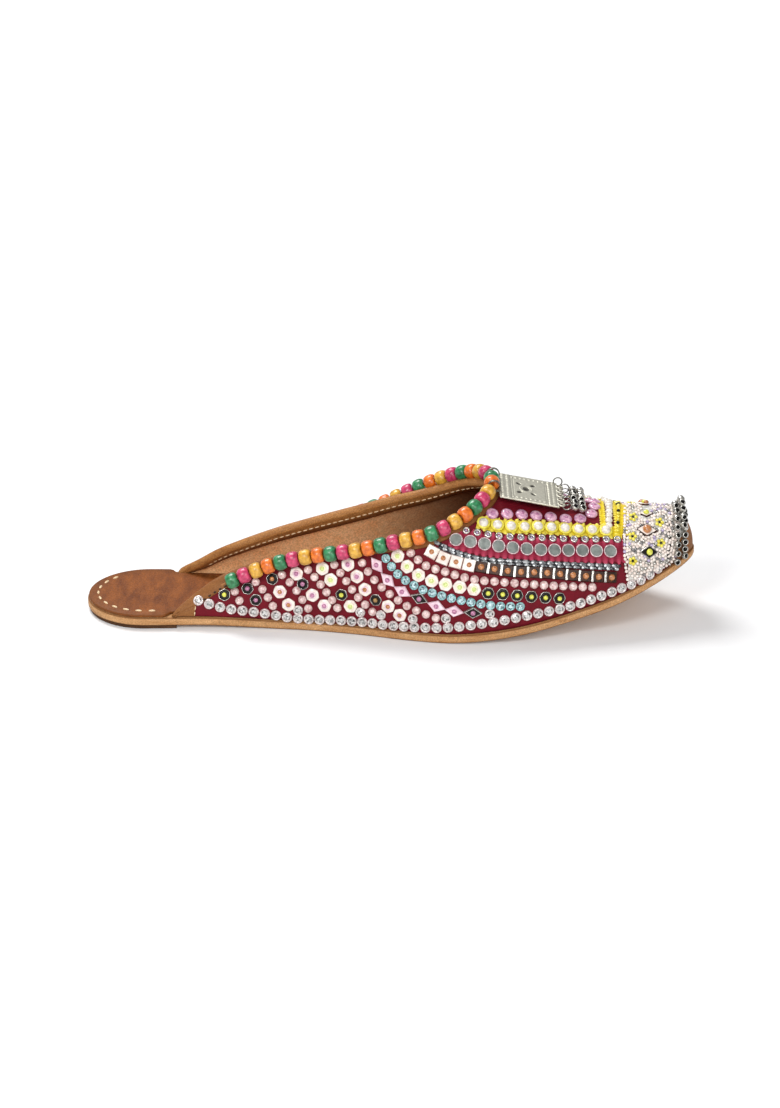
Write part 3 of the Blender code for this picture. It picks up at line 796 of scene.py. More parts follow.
from_end = np.minimum(rim_run, rim_run[-1] - rim_run)
taper = TAPER_LEAST + (1.0 - TAPER_LEAST) * ease(from_end / TAPER_LENGTH)
widened = 1.0 - ease((from_end - WIDE_BAND_END) / NARROWING)
band_out = (BAND_OUTSIDE + (BAND_REAR - BAND_OUTSIDE) * widened) * taper
band_in = BAND_INSIDE * taper


def on_rim(depth, offset):
    """Points at a depth below the collar's edge, measured on the vamp, and an offset along its normal."""
    depth = np.broadcast_to(np.asarray(depth, dtype=float), len(rim))
    flat = rim + depth[:, None] * rim_down
    laid = np.where((depth > 0.0)[:, None], settle(flat), flat)
    way = np.where((depth > 0.0)[:, None], vamp_normal(laid), rim_out)
    return laid + offset * way


def binding_grid():
    """The U section: up the outside, over the edge, down the inside and back against the wall."""
    back = -WALL
    full = BAND_THICK
    inner = back - BAND_SEAT
    # Each corner of the section: depth below the collar's edge, and offset from the vamp.
    section = [
        (band_out, BAND_SEAT), (band_out - 0.3, 0.8 * full), (0.75 * band_out, full), (0.4 * band_out, full),
        (0.9, full), (0.0, 0.9 * full), (-0.5, 0.3 * full), (-0.75, back / 2), (-0.5, back - 0.3 * full),
        (0.0, back - 0.9 * full), (0.9, back - full), (0.4 * band_in, back - full),
        (band_in - 0.4, back - 0.8 * full), (band_in, inner), (0.4 * band_in, inner), (0.0, inner),
        (-0.05, back / 2), (0.0, BAND_SEAT), (0.4 * band_out, BAND_SEAT),
    ]
    grid = np.stack([on_rim(depth, offset) for depth, offset in section], axis=1)
    grid[..., 2] = np.maximum(grid[..., 2], sole_top(grid[..., 0]) + GAP / 3)
    return grid


strip = binding_grid()
rows, columns = strip.shape[:2]
ends = [np.arange(columns)[None], np.arange(columns)[None, ::-1] + (rows - 1) * columns]
binding_faces = [grid_faces(rows, columns, wrap=True), *ends]
# The columns follow the section: two at each cut border, four on the outer band, three over the fold.
binding_tone = np.zeros((rows, columns))
binding_tone[:, 2:6] = OUTER_TONE
binding_tone[:, [0, 1, 12, 13]] = CUT_TONE
binding_tone[:, 6:9] = FOLD_TONE
make_piece("collar_binding", strip.reshape(-1, 3), binding_faces, binding_leather,
           values={"edge": binding_tone.ravel()})
print("width of the outer band in mm", round(float(band_out.min()), 1), round(float(band_out.max()), 1))

# %% [markdown]
# ## Rear patches
# The rear corner of each wing is faced with the same tan leather, under the binding, as far as an upright
# seam. It could be a colour on the silk, but leather stands off the cloth, so a patch is a thin sheet of its
# own: a grid on the vamp between its rear edge and the seam.

# %% Rear patches
PATCH_FOOT = 48.0
PATCH_TOP = 50.5
PATCH_THICK = 0.45
PATCH_STEPS = 16
SIDES = (("near", np.ones(3)), ("far", MIRRORED))
seam_foot = np.array((PATCH_FOOT, -vamp_base(PATCH_FOOT)))
seam_top = np.array((PATCH_TOP, -opening_half(PATCH_TOP)))
climb = np.linspace(0.0, 1.0, VAMP_ROWS + 1)[:, None] ** 2
seam_plan = seam_foot + (seam_top - seam_foot) * climb
patch_front = by_length(raised(seam_plan), VAMP_ROWS + 1)
share = np.linspace(0.0, 1.0, PATCH_STEPS)[:, None, None]
patch = raised(((1.0 - share) * vamp[0] + share * patch_front)[..., :2])
patch_out = vamp_normal(patch)
patch_points, patch_faces = closed_sheet(patch + PATCH_THICK * patch_out, patch + BAND_SEAT * patch_out)
patch_tone = {"edge": np.full(len(patch_points), OUTER_TONE)}
for side, flip in SIDES:
    make_piece(f"rear_patch_{side}", patch_points * flip, patch_faces, binding_leather, values=patch_tone)
patch_seam = patch_front + PATCH_THICK * vamp_normal(patch_front)
print("patch seam length in mm", round(float(distances(patch_seam)[-1]), 1))

# %% [markdown]
# ## Toe tip
# At the very tip the leather is drawn up over the cloth and glued, so plain brown hide shows past the last
# bells. The silk's mesh could be coloured there, but its squares are too coarse for so small a curve, so the
# tip is a cap of its own: a grid of stations and turns laid on the vamp, closer together where the tip
# falls steeply, as thick as pared leather. Down by the sole it reaches further back.

# %% Toe tip
TIP_REAR = 258.8
TIP_FOOT_REAR = 252.5
TIP_FOOT_POWER = 8
TIP_FRONT = 262.999
TIP_THICK = 0.4
TIP_ROWS = 24
TIP_COLUMNS = 61
TIP_FULL = 0.9998


def vamp_patch(rear, front, full, rows, columns):
    """Points and normals of the vamp between two stations: y is a part of the base times a turn's sine."""
    climb = np.sin(np.linspace(0.0, math.pi / 2, rows))[:, None]
    station = rear + (front - rear) * climb
    y = full * vamp_base(station) * np.sin(np.linspace(-math.pi / 2, math.pi / 2, columns))
    points = raised(np.stack((station + 0 * y, y), axis=2))
    return points, vamp_normal(points)


low_down = np.sin(np.linspace(-math.pi / 2, math.pi / 2, TIP_COLUMNS)) ** TIP_FOOT_POWER
tip_rear = TIP_REAR + (TIP_FOOT_REAR - TIP_REAR) * low_down
tip, tip_out = vamp_patch(tip_rear, TIP_FRONT, TIP_FULL, TIP_ROWS, TIP_COLUMNS)
tip_points, tip_faces = closed_sheet(tip + TIP_THICK * tip_out, tip + HAIR * tip_out)
make_piece("toe_tip", tip_points, tip_faces, binding_leather,
           values={"edge": np.full(len(tip_points), OUTER_TONE)})
print("toe tip points", len(tip_points))

# %% [markdown]
# ## Turned shapes and their copies
# Stitches, beads, stones and bells are small and come by the hundred. Each could be an object of its own,
# but hundreds of objects are slow to handle, so one profile is turned round an axis and copied, as whole
# arrays, into one mesh for each kind.

# %% Turned shapes and their copies


def turned(profile, sides, start=0.0):
    """A profile of (radius, height) pairs carried once round the z axis, closed by a pole at each end."""
    radius, height = np.array(profile, dtype=float).T
    turn = start + np.linspace(0.0, 2 * math.pi, sides, endpoint=False)
    body = np.stack((radius[1:-1, None] * np.cos(turn), radius[1:-1, None] * np.sin(turn),
                     height[1:-1, None] + 0 * turn), axis=2)
    count = body.shape[0] * sides
    points = np.concatenate((body.reshape(-1, 3), [(0.0, 0.0, height[0]), (0.0, 0.0, height[-1])]))
    here = np.arange(sides)
    after = np.roll(here, -1)
    last = count - sides
    low = np.stack((after, here, np.full(sides, count)), axis=1)
    high = np.stack((here + last, after + last, np.full(sides, count + 1)), axis=1)
    return points, [grid_faces(body.shape[0], sides, wrap=True), np.concatenate((low, high))]


def copies(shape, centres, normals, tangents, sizes):
    """Copies of a shape, one at each centre: centre + size * (x * tangent + y * side + z * normal)."""
    points, faces = shape
    tangents = unit(tangents - np.sum(tangents * normals, axis=1, keepdims=True) * normals)
    sides = np.cross(normals, tangents)
    axes = np.stack((tangents, sides, normals), axis=1)
    sizes = np.broadcast_to(np.asarray(sizes, dtype=float), len(centres))
    placed = centres[:, None] + sizes[:, None, None] * (points @ axes)
    shift = (np.arange(len(centres)) * len(points))[:, None, None]
    tables = [(table[None] + shift).reshape(-1, table.shape[1]) for table in faces]
    return placed.reshape(-1, 3), tables


def join(*bodies):
    """Several sets of points and faces as one."""
    points = np.concatenate([body[0] for body in bodies])
    starts = np.cumsum([0] + [len(body[0]) for body in bodies])
    faces = [table + start for body, start in zip(bodies, starts) for table in body[1]]
    return points, faces


cone = turned(((0.0, 0.0), (1.0, 0.0), (0.0, 1.0)), 8)
print("points of a turned cone", len(cone[0]))

# %% [markdown]
# ## Stitches
# Waxed cotton holds the binding, the rear patches and the insole. A painted line would look flat, so
# every stitch is a small spindle half sunk in the leather, and the rear bands show the awl's holes as
# dark spindles of painted shadow.
# All stitches of one seam are copies of one spindle in one mesh.

# %% Stitches
STITCH_SHAPE = ((0.0, -0.5), (0.10, -0.42), (0.15, 0.0), (0.10, 0.42), (0.0, 0.5))
STITCH_SIDES = 8
STITCH_PROUD = 0.05
RIM_PITCH = 2.7
INNER_SEAM_DEPTH = 3.6
INNER_SEAM = slice(14, -14)
HOLE_MARGIN = 1.1
HOLE_GIRTH = 2.4
HOLES = slice(14, 75)
HEEL_GIRTH = 1.3
HEEL_SEAM_INSET = 4.6
HEEL_SEAM_NEAR = 33.0
HEEL_SEAM_FAR = 15.0


def plain_finish(name, light, dark, spot_mm, roughness, metallic=0.0, coat=0.0, depth_mm=0.05,
                 specular=0.5):
    """Two close tones in small cloudy spots of a given size, which also lift the surface a little."""
    finish, tree, shader = start_finish(name, Roughness=roughness, Metallic=metallic, Coat_Weight=coat,
                                        Coat_Roughness=0.08, Specular_IOR_Level=specular)
    place = add_node(tree, "ShaderNodeTexCoord").outputs["Object"]
    spots = add_node(tree, "ShaderNodeTexNoise", Vector=place, Scale=1 / (spot_mm * MM), Detail=3.0)
    spread = add_node(tree, "ShaderNodeMapRange", Value=spots.outputs["Fac"], From_Min=0.35, From_Max=0.65)
    tone = add_node(tree, "ShaderNodeMix", {"data_type": "RGBA"}, i0=spread.outputs["Result"],
                    i6=linear(dark), i7=linear(light))
    lift = add_node(tree, "ShaderNodeBump", Height=spots.outputs["Fac"], Strength=0.3,
                    Distance=depth_mm * MM)
    tree.links.new(tone.outputs[2], shader.inputs["Base Color"])
    tree.links.new(lift.outputs["Normal"], shader.inputs["Normal"])
    return finish


def stitch_row(line, out, pitch, length, girth=1.0):
    """Spindles along a line of points: z of the shape runs along the seam and its waist is half sunk."""
    points, faces = turned(STITCH_SHAPE, STITCH_SIDES)
    spindle = (points * np.array((girth, girth, 1.0)), faces)
    run = distances(line)
    wanted = (np.arange(int(run[-1] / pitch)) + 0.5) * pitch
    along = unit(between(wanted, run, np.gradient(line, axis=0)))
    normal = unit(between(wanted, run, out))
    return copies(spindle, between(wanted, run, line), along, normal, length)


# Waxed cotton thread: cream, matt, with a faint twist.
cream_thread = plain_finish("waxed_cotton_thread", "#f3dfbd", "#cfae7e", 0.5, 0.75)
# An awl hole is shown as a dark spindle: painted shadow inside the hole.
hole_shadow = plain_finish("awl_hole_shadow", "#3a2212", "#24140a", 0.5, 0.9)
inner_seam = on_rim(INNER_SEAM_DEPTH, -WALL - BAND_THICK - STITCH_PROUD)
seam_inside = stitch_row(inner_seam[INNER_SEAM], rim_out[INNER_SEAM], RIM_PITCH, length=2.0)
outer_seam = on_rim(band_out - HOLE_MARGIN, BAND_THICK)
hole_rows = [stitch_row(seam[HOLES], out[HOLES], RIM_PITCH, length=1.3, girth=HOLE_GIRTH)
             for seam, out in ((outer_seam, rim_out), (outer_seam[::-1], rim_out[::-1]))]

heel_arc, heel_half = inset_outline(HEEL_SEAM_INSET, heel_to_toe(FINE_STEPS))
heel_line = np.stack((heel_arc, -heel_half, underside(heel_arc) + INSOLE_TOP + STITCH_PROUD), axis=1)
near_line = heel_line[heel_arc < HEEL_SEAM_NEAR]
far_line = heel_line[heel_arc < HEEL_SEAM_FAR] * MIRRORED
heel_line = np.concatenate((near_line[::-1], far_line[1:]))
upright = np.tile((0.0, 0.0, 1.0), (len(heel_line), 1))
seam_heel = stitch_row(heel_line, upright, pitch=5.8, length=2.9, girth=HEEL_GIRTH)
make_piece("binding_stitches", *seam_inside, cream_thread)
for side, flip in SIDES:
    seam = stitch_row(patch_seam * flip, vamp_normal(patch_seam * flip), pitch=2.4, length=1.7)
    make_piece(f"rear_patch_stitches_{side}", *seam, cream_thread)
make_piece("insole_stitches", *seam_heel, cream_thread)
make_piece("binding_awl_holes", *join(*hole_rows), hole_shadow)
print("points of the binding's and the insole's stitches", len(seam_inside[0]), len(seam_heel[0]))

# %% [markdown]
# ## Wooden beads
# The string carries barrel beads in four colours by turns. A ball with a hole cut through it would show a
# sharp rim, and a real bead is turned from wood, so its profile is carried round its own axis, with a dip
# at each end. The CAD beads give the places: the middle of each node's box, and the line from neighbour to
# neighbour.

# %% Wooden beads
BEAD_PROFILE = (
    (0.0, -1.6), (0.85, -1.8), (1.1, -2.42), (2.1, -2.55), (2.9, -2.15), (3.32, -1.2), (3.42, 0.0),
    (3.32, 1.2), (2.9, 2.15), (2.1, 2.55), (1.1, 2.42), (0.85, 1.8), (0.0, 1.6),
)
BEAD_SIDES = 22
BeadTone = namedtuple("BeadTone", "name light dark")
BEAD_TONES = (
    BeadTone("green", "#348a58", "#1a5c33"),
    BeadTone("pink", "#cd3f69", "#9c234a"),
    BeadTone("yellow", "#dba93e", "#b28023"),
    BeadTone("orange", "#e4761d", "#bb5510"),
)


def node_middle(name):
    """Middle of a CAD node's box, in millimetres with the heel at 0."""
    low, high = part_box(name)
    return np.array((low + high) / 2) / MM + HEEL_SHIFT


bead_middles = np.stack([node_middle(name) for name in bead_names])
bead_axes = unit(np.gradient(bead_middles, axis=0))
bead_spins = np.random.default_rng(4).normal(size=bead_axes.shape)
for turn, tone in enumerate(BEAD_TONES):
    # Turned wood, dipped in satin paint: even colour, slightly cloudy, with soft highlights.
    paint = plain_finish(f"painted_wood_{tone.name}", tone.light, tone.dark, 1.6, 0.36, coat=0.25,
                         depth_mm=0.12)
    chosen = slice(turn, None, len(BEAD_TONES))
    body = copies(turned(BEAD_PROFILE, BEAD_SIDES), bead_middles[chosen], bead_axes[chosen],
                  bead_spins[chosen], 1.0)
    piece = make_piece(f"wooden_beads_{tone.name}", *body, paint, slot=f"{tone.name}_bead")
    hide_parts(*bead_names[chosen])
# Twisted cotton through the beads, dyed tan and darkened by handling.
bead_thread = plain_finish("tan_bead_thread", "#a06a3a", "#7a4c26", 0.5, 0.8)
frame["nodes"]["bead_cord"].data.materials[0] = bead_thread
print("beads placed", len(bead_middles))

# %% [markdown]
# ## Small finishes for the sewn work
# The vamp is set with foil-backed glass, pearls, enamelled caps, mirrors and sequins. Each is smooth and
# glossy, so what tells them apart is colour, metal and the sharpness of the highlight. They share one
# recipe of two close tones, and only the glass stones get their own. Light could be traced through real
# glass, but foil stops it, so the bright and dark reflections of the facets are painted, from a number
# that each facet carries.

# %% Finishes for stones, pearls, caps and mirrors


def foiled_glass(name, bright, dark):
    """Cut glass over foil: a number on each of the faces paints a reflection from a dark to a bright tone,
    with sharp gloss.
    """
    finish, tree, shader = start_finish(name, Roughness=0.08, Metallic=0.25, Coat_Weight=0.6,
                                        Coat_Roughness=0.03)
    facet_reflection = add_node(tree, "ShaderNodeAttribute", {"attribute_name": "facet_reflection"})
    tone = add_node(tree, "ShaderNodeMix", {"data_type": "RGBA"}, i0=facet_reflection.outputs["Fac"],
                    i6=linear(dark), i7=linear(bright))
    tree.links.new(tone.outputs[2], shader.inputs["Base Color"])
    return finish


# Foil-backed glass stones, colourless and turquoise; the dark and bright tones are painted reflections of
# the facets.
clear_glass = foiled_glass("foiled_clear_glass", "#dbd9d6", "#454443")
teal_glass = foiled_glass("foiled_turquoise_glass", "#d2eff2", "#05333c")
# Glass pearls with a nacre coat: milky, faintly pink or white, with a broad soft highlight.
pink_pearl = plain_finish("pink_nacre_pearl", "#e8d2cc", "#b08784", 1.2, 0.18, coat=1.0)
white_pearl = plain_finish("white_nacre_pearl", "#e8e2d8", "#c4bbad", 1.5, 0.18, coat=0.8)
# Enamelled caps: opaque white or black, glossy like glazed china.
white_enamel = plain_finish("white_cap_enamel", "#f0e7de", "#dbcabf", 2.0, 0.20, coat=0.5)
blush_enamel = plain_finish("blush_lozenge_enamel", "#efd8df", "#d7b4c1", 2.0, 0.20, coat=0.5)
black_enamel = plain_finish("black_cap_enamel", "#19120c", "#060403", 2.0, 0.34, specular=0.25)
brown_glass = plain_finish("smoked_tile_glass", "#43210f", "#160804", 1.6, 0.34, specular=0.25)
# Drops of tinted resin in the middle of the caps.
yellow_resin = plain_finish("yellow_green_resin", "#e3e25c", "#bfc036", 0.8, 0.25, coat=0.6)
lime_resin = plain_finish("pale_lime_resin", "#dce79c", "#bccd74", 0.8, 0.30, coat=0.4)
pale_resin = plain_finish("pale_yellow_resin", "#f1f0d3", "#e3e2b8", 1.0, 0.30, coat=0.4)
orange_resin = plain_finish("orange_resin", "#c68450", "#955a2c", 0.8, 0.25, coat=0.6)
pink_resin = plain_finish("pink_resin", "#c98aa9", "#96597e", 0.8, 0.25, coat=0.6)
gold_resin = plain_finish("brown_gold_resin", "#b58a4a", "#7d5a26", 0.8, 0.25, coat=0.6)
# Thin white metal for cups, rims and bars, and dark cut beads of gunmetal glass.
bright_silver = plain_finish("bright_white_metal", "#dedbd5", "#9c9890", 0.8, 0.26, metallic=0.85)
gunmetal = plain_finish("gunmetal_cut_glass", "#c3c6c6", "#55565a", 1.3, 0.14, metallic=0.5, coat=0.5)
jet_glass = plain_finish("jet_cut_glass", "#33343a", "#0e0d0f", 1.3, 0.14, coat=0.6)
# Stone cups: white-plated brass, bright all round the stone.
white_plate = plain_finish("white_plated_cup", "#e8dedb", "#b0a29f", 0.9, 0.30, metallic=0.35)
# Turquoise stones sit in cups that take up their colour.
teal_plate = plain_finish("turquoise_plated_cup", "#b3d6d6", "#4a8083", 0.9, 0.30, metallic=0.35)
# Small round mirrors: grey-green silvered glass, slightly clouded.
mirror_glass = plain_finish("clouded_mirror_glass", "#9aa09a", "#757b76", 3.0, 0.22, metallic=0.5, coat=0.5)
# Rim of a sewn mirror: pale rose metal, thin.
rose_metal = plain_finish("pale_rose_metal", "#e3cfd0", "#b79a9d", 0.8, 0.3, metallic=0.5)
# Lilac-pink cabochons with a pearly gloss, and sequins pressed from yellow film.
lilac_film = plain_finish("lilac_cabochon_glass", "#e3b2c4", "#a97398", 1.8, 0.16, coat=1.0)
yellow_film = plain_finish("yellow_sequin_film", "#f0e45a", "#cdbb2a", 1.6, 0.28, coat=0.5)
violet_film = plain_finish("violet_seed_glass", "#c0b4cc", "#9686ab", 0.8, 0.20, coat=0.6)
grey_film = plain_finish("grey_seed_glass", "#8f8c8a", "#4f4c4b", 0.8, 0.20, coat=0.6)
print("materials so far", len(bpy.data.materials))

# %% [markdown]
# ## Shapes of the sewn work
# Each ornament is a small turned profile with a few dozen faces, because hundreds of them are sewn on.
# Stones have eight flat facets, tiles and lozenges are turned with four sides, and rims are rings. All
# are drawn for a radius of 1 and scaled when they are set.

# %% Shapes of the sewn work


def turned_ring(profile, sides):
    """A closed profile of (radius, height) pairs carried once round the z axis, as a ring with a hole."""
    radius, height = np.array(profile, dtype=float).T
    turn = np.linspace(0.0, 2 * math.pi, sides, endpoint=False)[:, None]
    points = np.stack((radius * np.cos(turn), radius * np.sin(turn), height + 0 * turn), axis=2)
    return points.reshape(-1, 3), [grid_faces(sides, len(profile), wrap=True, loop=True)]


STONE = turned(((0.0, -0.10), (0.78, -0.10), (0.80, 0.22), (0.44, 0.44), (0.0, 0.46)), 8)
CUP = turned_ring(((0.70, -0.10), (1.04, -0.10), (1.10, 0.14), (1.02, 0.38), (0.84, 0.44), (0.70, 0.30)), 14)
PEARL = turned((
    (0.0, -0.12), (0.92, -0.12), (1.0, 0.18), (0.92, 0.56), (0.66, 0.86), (0.34, 1.0), (0.0, 1.04)), 12)
CAP_LOBES = 6
LOBE_DEPTH = 0.05


def lobed(shape):
    """A turned shape whose radius swells with the cosine of a few turns, like a pressed flower."""
    points, faces = shape
    swell = 1.0 + LOBE_DEPTH * np.cos(CAP_LOBES * np.arctan2(points[:, 1], points[:, 0]))
    return points * np.stack((swell, swell, 1.0 + 0.0 * swell), axis=1), faces


CAP = lobed(turned(((0.0, -0.05), (0.95, -0.05), (1.0, 0.12), (0.93, 0.24), (0.60, 0.22), (0.0, 0.20)), 18))
CAP_RIM = lobed(turned_ring(((0.94, -0.05), (1.05, -0.05), (1.08, 0.12), (1.01, 0.26), (0.94, 0.20)), 18))
HALO = turned(((0.0, 0.10), (0.52, 0.18), (0.56, 0.24), (0.46, 0.30), (0.0, 0.32)), 10)
DROP = turned(((0.0, 0.10), (0.34, 0.20), (0.36, 0.32), (0.24, 0.48), (0.0, 0.55)), 10)
SQUARE = turned(((0.0, -0.05), (1.0, -0.05), (1.02, 0.12), (0.90, 0.30), (0.0, 0.32)), 4, math.pi / 4)
LOZENGE = turned(((0.0, -0.05), (1.0, -0.05), (1.02, 0.10), (0.88, 0.26), (0.0, 0.28)), 4)
MIRROR = turned(((0.0, -0.04), (0.94, -0.04), (0.94, 0.14), (0.90, 0.18), (0.0, 0.18)), 20)
MIRROR_RIM = turned_ring((
    (0.90, -0.04), (1.04, -0.04), (1.07, 0.10), (1.02, 0.22), (0.93, 0.23), (0.90, 0.14)), 20)
SEQUIN = turned((
    (0.0, 0.02), (0.30, 0.0), (0.94, 0.20), (1.0, 0.27), (0.93, 0.32), (0.30, 0.12), (0.16, 0.16),
    (0.0, 0.18)), 14)
CABOCHON = turned(((0.0, -0.05), (0.95, -0.05), (1.0, 0.14), (0.90, 0.36), (0.62, 0.52), (0.0, 0.58)), 14)
RING_BEAD = turned_ring((
    (0.42, 0.0), (0.72, -0.10), (1.0, 0.10), (0.98, 0.44), (0.70, 0.62), (0.44, 0.44)), 10)
NUGGET = turned(((0.0, -0.3), (0.7, -0.2), (1.0, 0.25), (0.72, 0.72), (0.0, 0.85)), 6)
SEED = turned(((0.0, -0.15), (0.85, -0.1), (1.0, 0.3), (0.6, 0.85), (0.0, 0.95)), 7)


def drawn_out(shape, *scales):
    """A shape scaled along its own x, y and z."""
    return shape[0] * np.array(scales), shape[1]


LONG_NUGGET = drawn_out(NUGGET, 1.45, 0.85, 1.0)
BAR = drawn_out(SQUARE, *(np.array((0.22, 1.0, 0.9)) / math.sqrt(0.5)))
SLIM_LOZENGE = drawn_out(LOZENGE, 1.12, 0.70, 1.0)
EYE_LOZENGE = drawn_out(LOZENGE, 1.45, 0.92, 1.0)
print("faces of a stone", sum(len(table) for table in STONE[1]))

# %% [markdown]
# ## Kinds of ornament
# A sewn cap is a dish of enamel with a drop of resin, and a stone sits in a metal cup. They could be
# modelled one by one, but most share their parts, so a kind of ornament is one or more shapes, each with
# its finish, its scale, and how far it is lifted off the silk in millimetres.

# %% Kinds of ornament
Part = namedtuple("Part", "piece shape finish scale lift smooth", defaults=(1.0, 0.0, True))
CENTRES = {"yellow": yellow_resin, "lime": lime_resin, "orange": orange_resin, "pink": pink_resin,
           "gold": gold_resin}
HALOS = {"yellow": pale_resin, "lime": pale_resin, "orange": blush_enamel, "pink": blush_enamel,
         "gold": pale_resin}
KINDS = {
    "clear_stone": (Part("clear_stones", STONE, clear_glass, smooth=False),
                    Part("stone_cups", CUP, white_plate)),
    "teal_stone": (Part("turquoise_stones", STONE, teal_glass, smooth=False),
                   Part("turquoise_cups", CUP, teal_plate)),
    "pink_pearl": (Part("pink_half_pearls", PEARL, pink_pearl),),
    "white_pearl": (Part("white_pearls", PEARL, white_pearl, lift=0.3),),
    "cupped_pearl": (Part("white_pearls", PEARL, white_pearl, lift=0.75),
                     Part("yellow_sequins", SEQUIN, yellow_film, 1.4, 0.35)),
    "mirror": (Part("round_mirrors", MIRROR, mirror_glass, lift=0.45, smooth=False),
               Part("mirror_rims", MIRROR_RIM, rose_metal, lift=0.45)),
    "lilac_disc": (Part("lilac_cabochons", CABOCHON, lilac_film, lift=0.1),
                   Part("lilac_hearts", SEED, pink_resin, 0.42, 0.9)),
    "ring_bead": (Part("silver_ring_beads", RING_BEAD, bright_silver, lift=0.1),
                  Part("violet_seeds", SEED, violet_film, 0.42, 0.05)),
    "cut_bead": (Part("gunmetal_cut_beads", LONG_NUGGET, gunmetal, smooth=False),),
    "jet_bead": (Part("jet_cut_beads", LONG_NUGGET, jet_glass, 0.9, smooth=False),),
    "bar": (Part("tile_bars", BAR, bright_silver, smooth=False),),
    "dark_bar": (Part("lace_dashes", BAR, black_enamel, lift=0.35, smooth=False),),
    "silver_seed": (Part("lace_silver_seeds", SEED, bright_silver, lift=0.35),),
    "white_seed": (Part("lace_white_seeds", SEED, white_enamel, lift=0.35),),
    "violet_seed": (Part("violet_seeds", SEED, violet_film, lift=0.35),),
    "yellow_seed": (Part("yellow_seeds", SEED, yellow_film, lift=0.35),),
    "dark_seed": (Part("dark_seeds", SEED, black_enamel, lift=0.5),),
    "grey_seed": (Part("grey_seeds", SEED, grey_film, lift=0.35),),
}
for tone, resin in CENTRES.items():
    drop = Part(f"{tone}_drops", DROP, resin)
    halo = Part(f"{tone}_halos", HALO, HALOS[tone])
    KINDS[f"white_cap_{tone}"] = (Part("white_caps", CAP, white_enamel), halo, drop)
    KINDS[f"black_cap_{tone}"] = (
        Part("black_caps", CAP, black_enamel, 0.98),
        Part("cap_rims", CAP_RIM, bright_silver),
        drop._replace(scale=1.2))
    KINDS[f"white_lozenge_{tone}"] = (
        Part("blush_lozenges", SLIM_LOZENGE, blush_enamel, smooth=False),
        drop._replace(scale=0.80, lift=0.25))
    KINDS[f"black_lozenge_{tone}"] = (
        Part("black_lozenges", SLIM_LOZENGE, black_enamel, 0.92, smooth=False),
        Part("lozenge_frames", SLIM_LOZENGE, bright_silver, 1.04, -0.18, smooth=False),
        drop._replace(scale=0.85, lift=0.2))
    KINDS[f"black_eye_{tone}"] = (
        Part("black_lozenges", EYE_LOZENGE, black_enamel, 0.92, 0.35, smooth=False),
        Part("lozenge_frames", EYE_LOZENGE, bright_silver, 1.05, 0.2, smooth=False),
        drop._replace(scale=1.25, lift=0.3))
    KINDS[f"white_eye_{tone}"] = (
        Part("white_lozenges", EYE_LOZENGE, white_enamel, 1.0, 0.45, smooth=False),
        Part("lozenge_edges", EYE_LOZENGE, brown_glass, 1.1, 0.3, smooth=False),
        drop._replace(scale=1.7, lift=0.5))
    KINDS[f"white_tile_{tone}"] = (
        Part("white_tiles", SQUARE, white_enamel, 1.36, smooth=False),
        halo._replace(scale=0.85, lift=0.2),
        drop._replace(scale=1.15, lift=0.2))
    KINDS[f"dark_tile_{tone}"] = (
        Part("smoked_tiles", SQUARE, brown_glass, 1.30, smooth=False),
        drop._replace(scale=1.50, lift=0.1))
print("ornament kinds", len(KINDS))

# %% [markdown]
# ## Sewing along a row
# The maker sews ornaments in rows, on both sides alike, and leaves out what the bead string would cover.
# Placing each by hand would take hundreds of numbers, so a row is a smooth line through a few places in
# the picture, dropped onto the vamp along the line of sight and divided evenly.

# %% Sewing along a row
RIDGE_MARGIN = 1.2
BEAD_REACH = 3.6
BEAD_SHARE = 0.30
ROW_FINENESS = 8
# For each kind: the middles, directions and radii of its ornaments.
sewn = {}


def through(places, count):
    """A smooth line through places in the picture, by a cubic between each two in both directions."""
    places = np.asarray(places, dtype=float)
    run = distances(places)
    wanted = np.linspace(0.0, run[-1], count)
    return np.stack([cubic(run, part, wanted) for part in places.T], axis=1)


def sew(kind, centres, along, size):
    """Keep ornaments of one kind for both sides, leaving out what would lie under a bead of the string."""
    far = centres[:, 1] < -RIDGE_MARGIN
    both = np.concatenate((centres, centres[far] * MIRRORED))
    ways = np.concatenate((along, along[far] * MIRRORED))
    to_bead = np.linalg.norm(both[:, None] - bead_middles, axis=2).min(axis=1)
    free = to_bead > BEAD_REACH + BEAD_SHARE * size
    sewn.setdefault(kind, []).append((both[free], ways[free], np.full(np.sum(free), size / 2)))


def sew_row(row):
    """Ornaments evenly along a row's line on the vamp, kinds by turns."""
    centres = by_length(on_vamp(through(row.places, ROW_FINENESS * row.count)), row.count)
    along = np.gradient(centres, axis=0)
    for turn, kind in enumerate(row.kinds):
        chosen = slice(turn, None, len(row.kinds))
        sew(kind, centres[chosen], along[chosen], row.size)


print("kinds that can be sewn", len(KINDS))

# %% [markdown]
# ## Rows of sewn work
# From the sole up to the ridge run stones, lozenges, caps, pearls, tiles, cut beads and mirrors, each in
# a row that follows the collar or the sole. They could be scattered by a particle system, but that gives
# no rows, so each row is one line of a table. The far side gets the same rows mirrored, since the shoe is
# made the same on both sides.

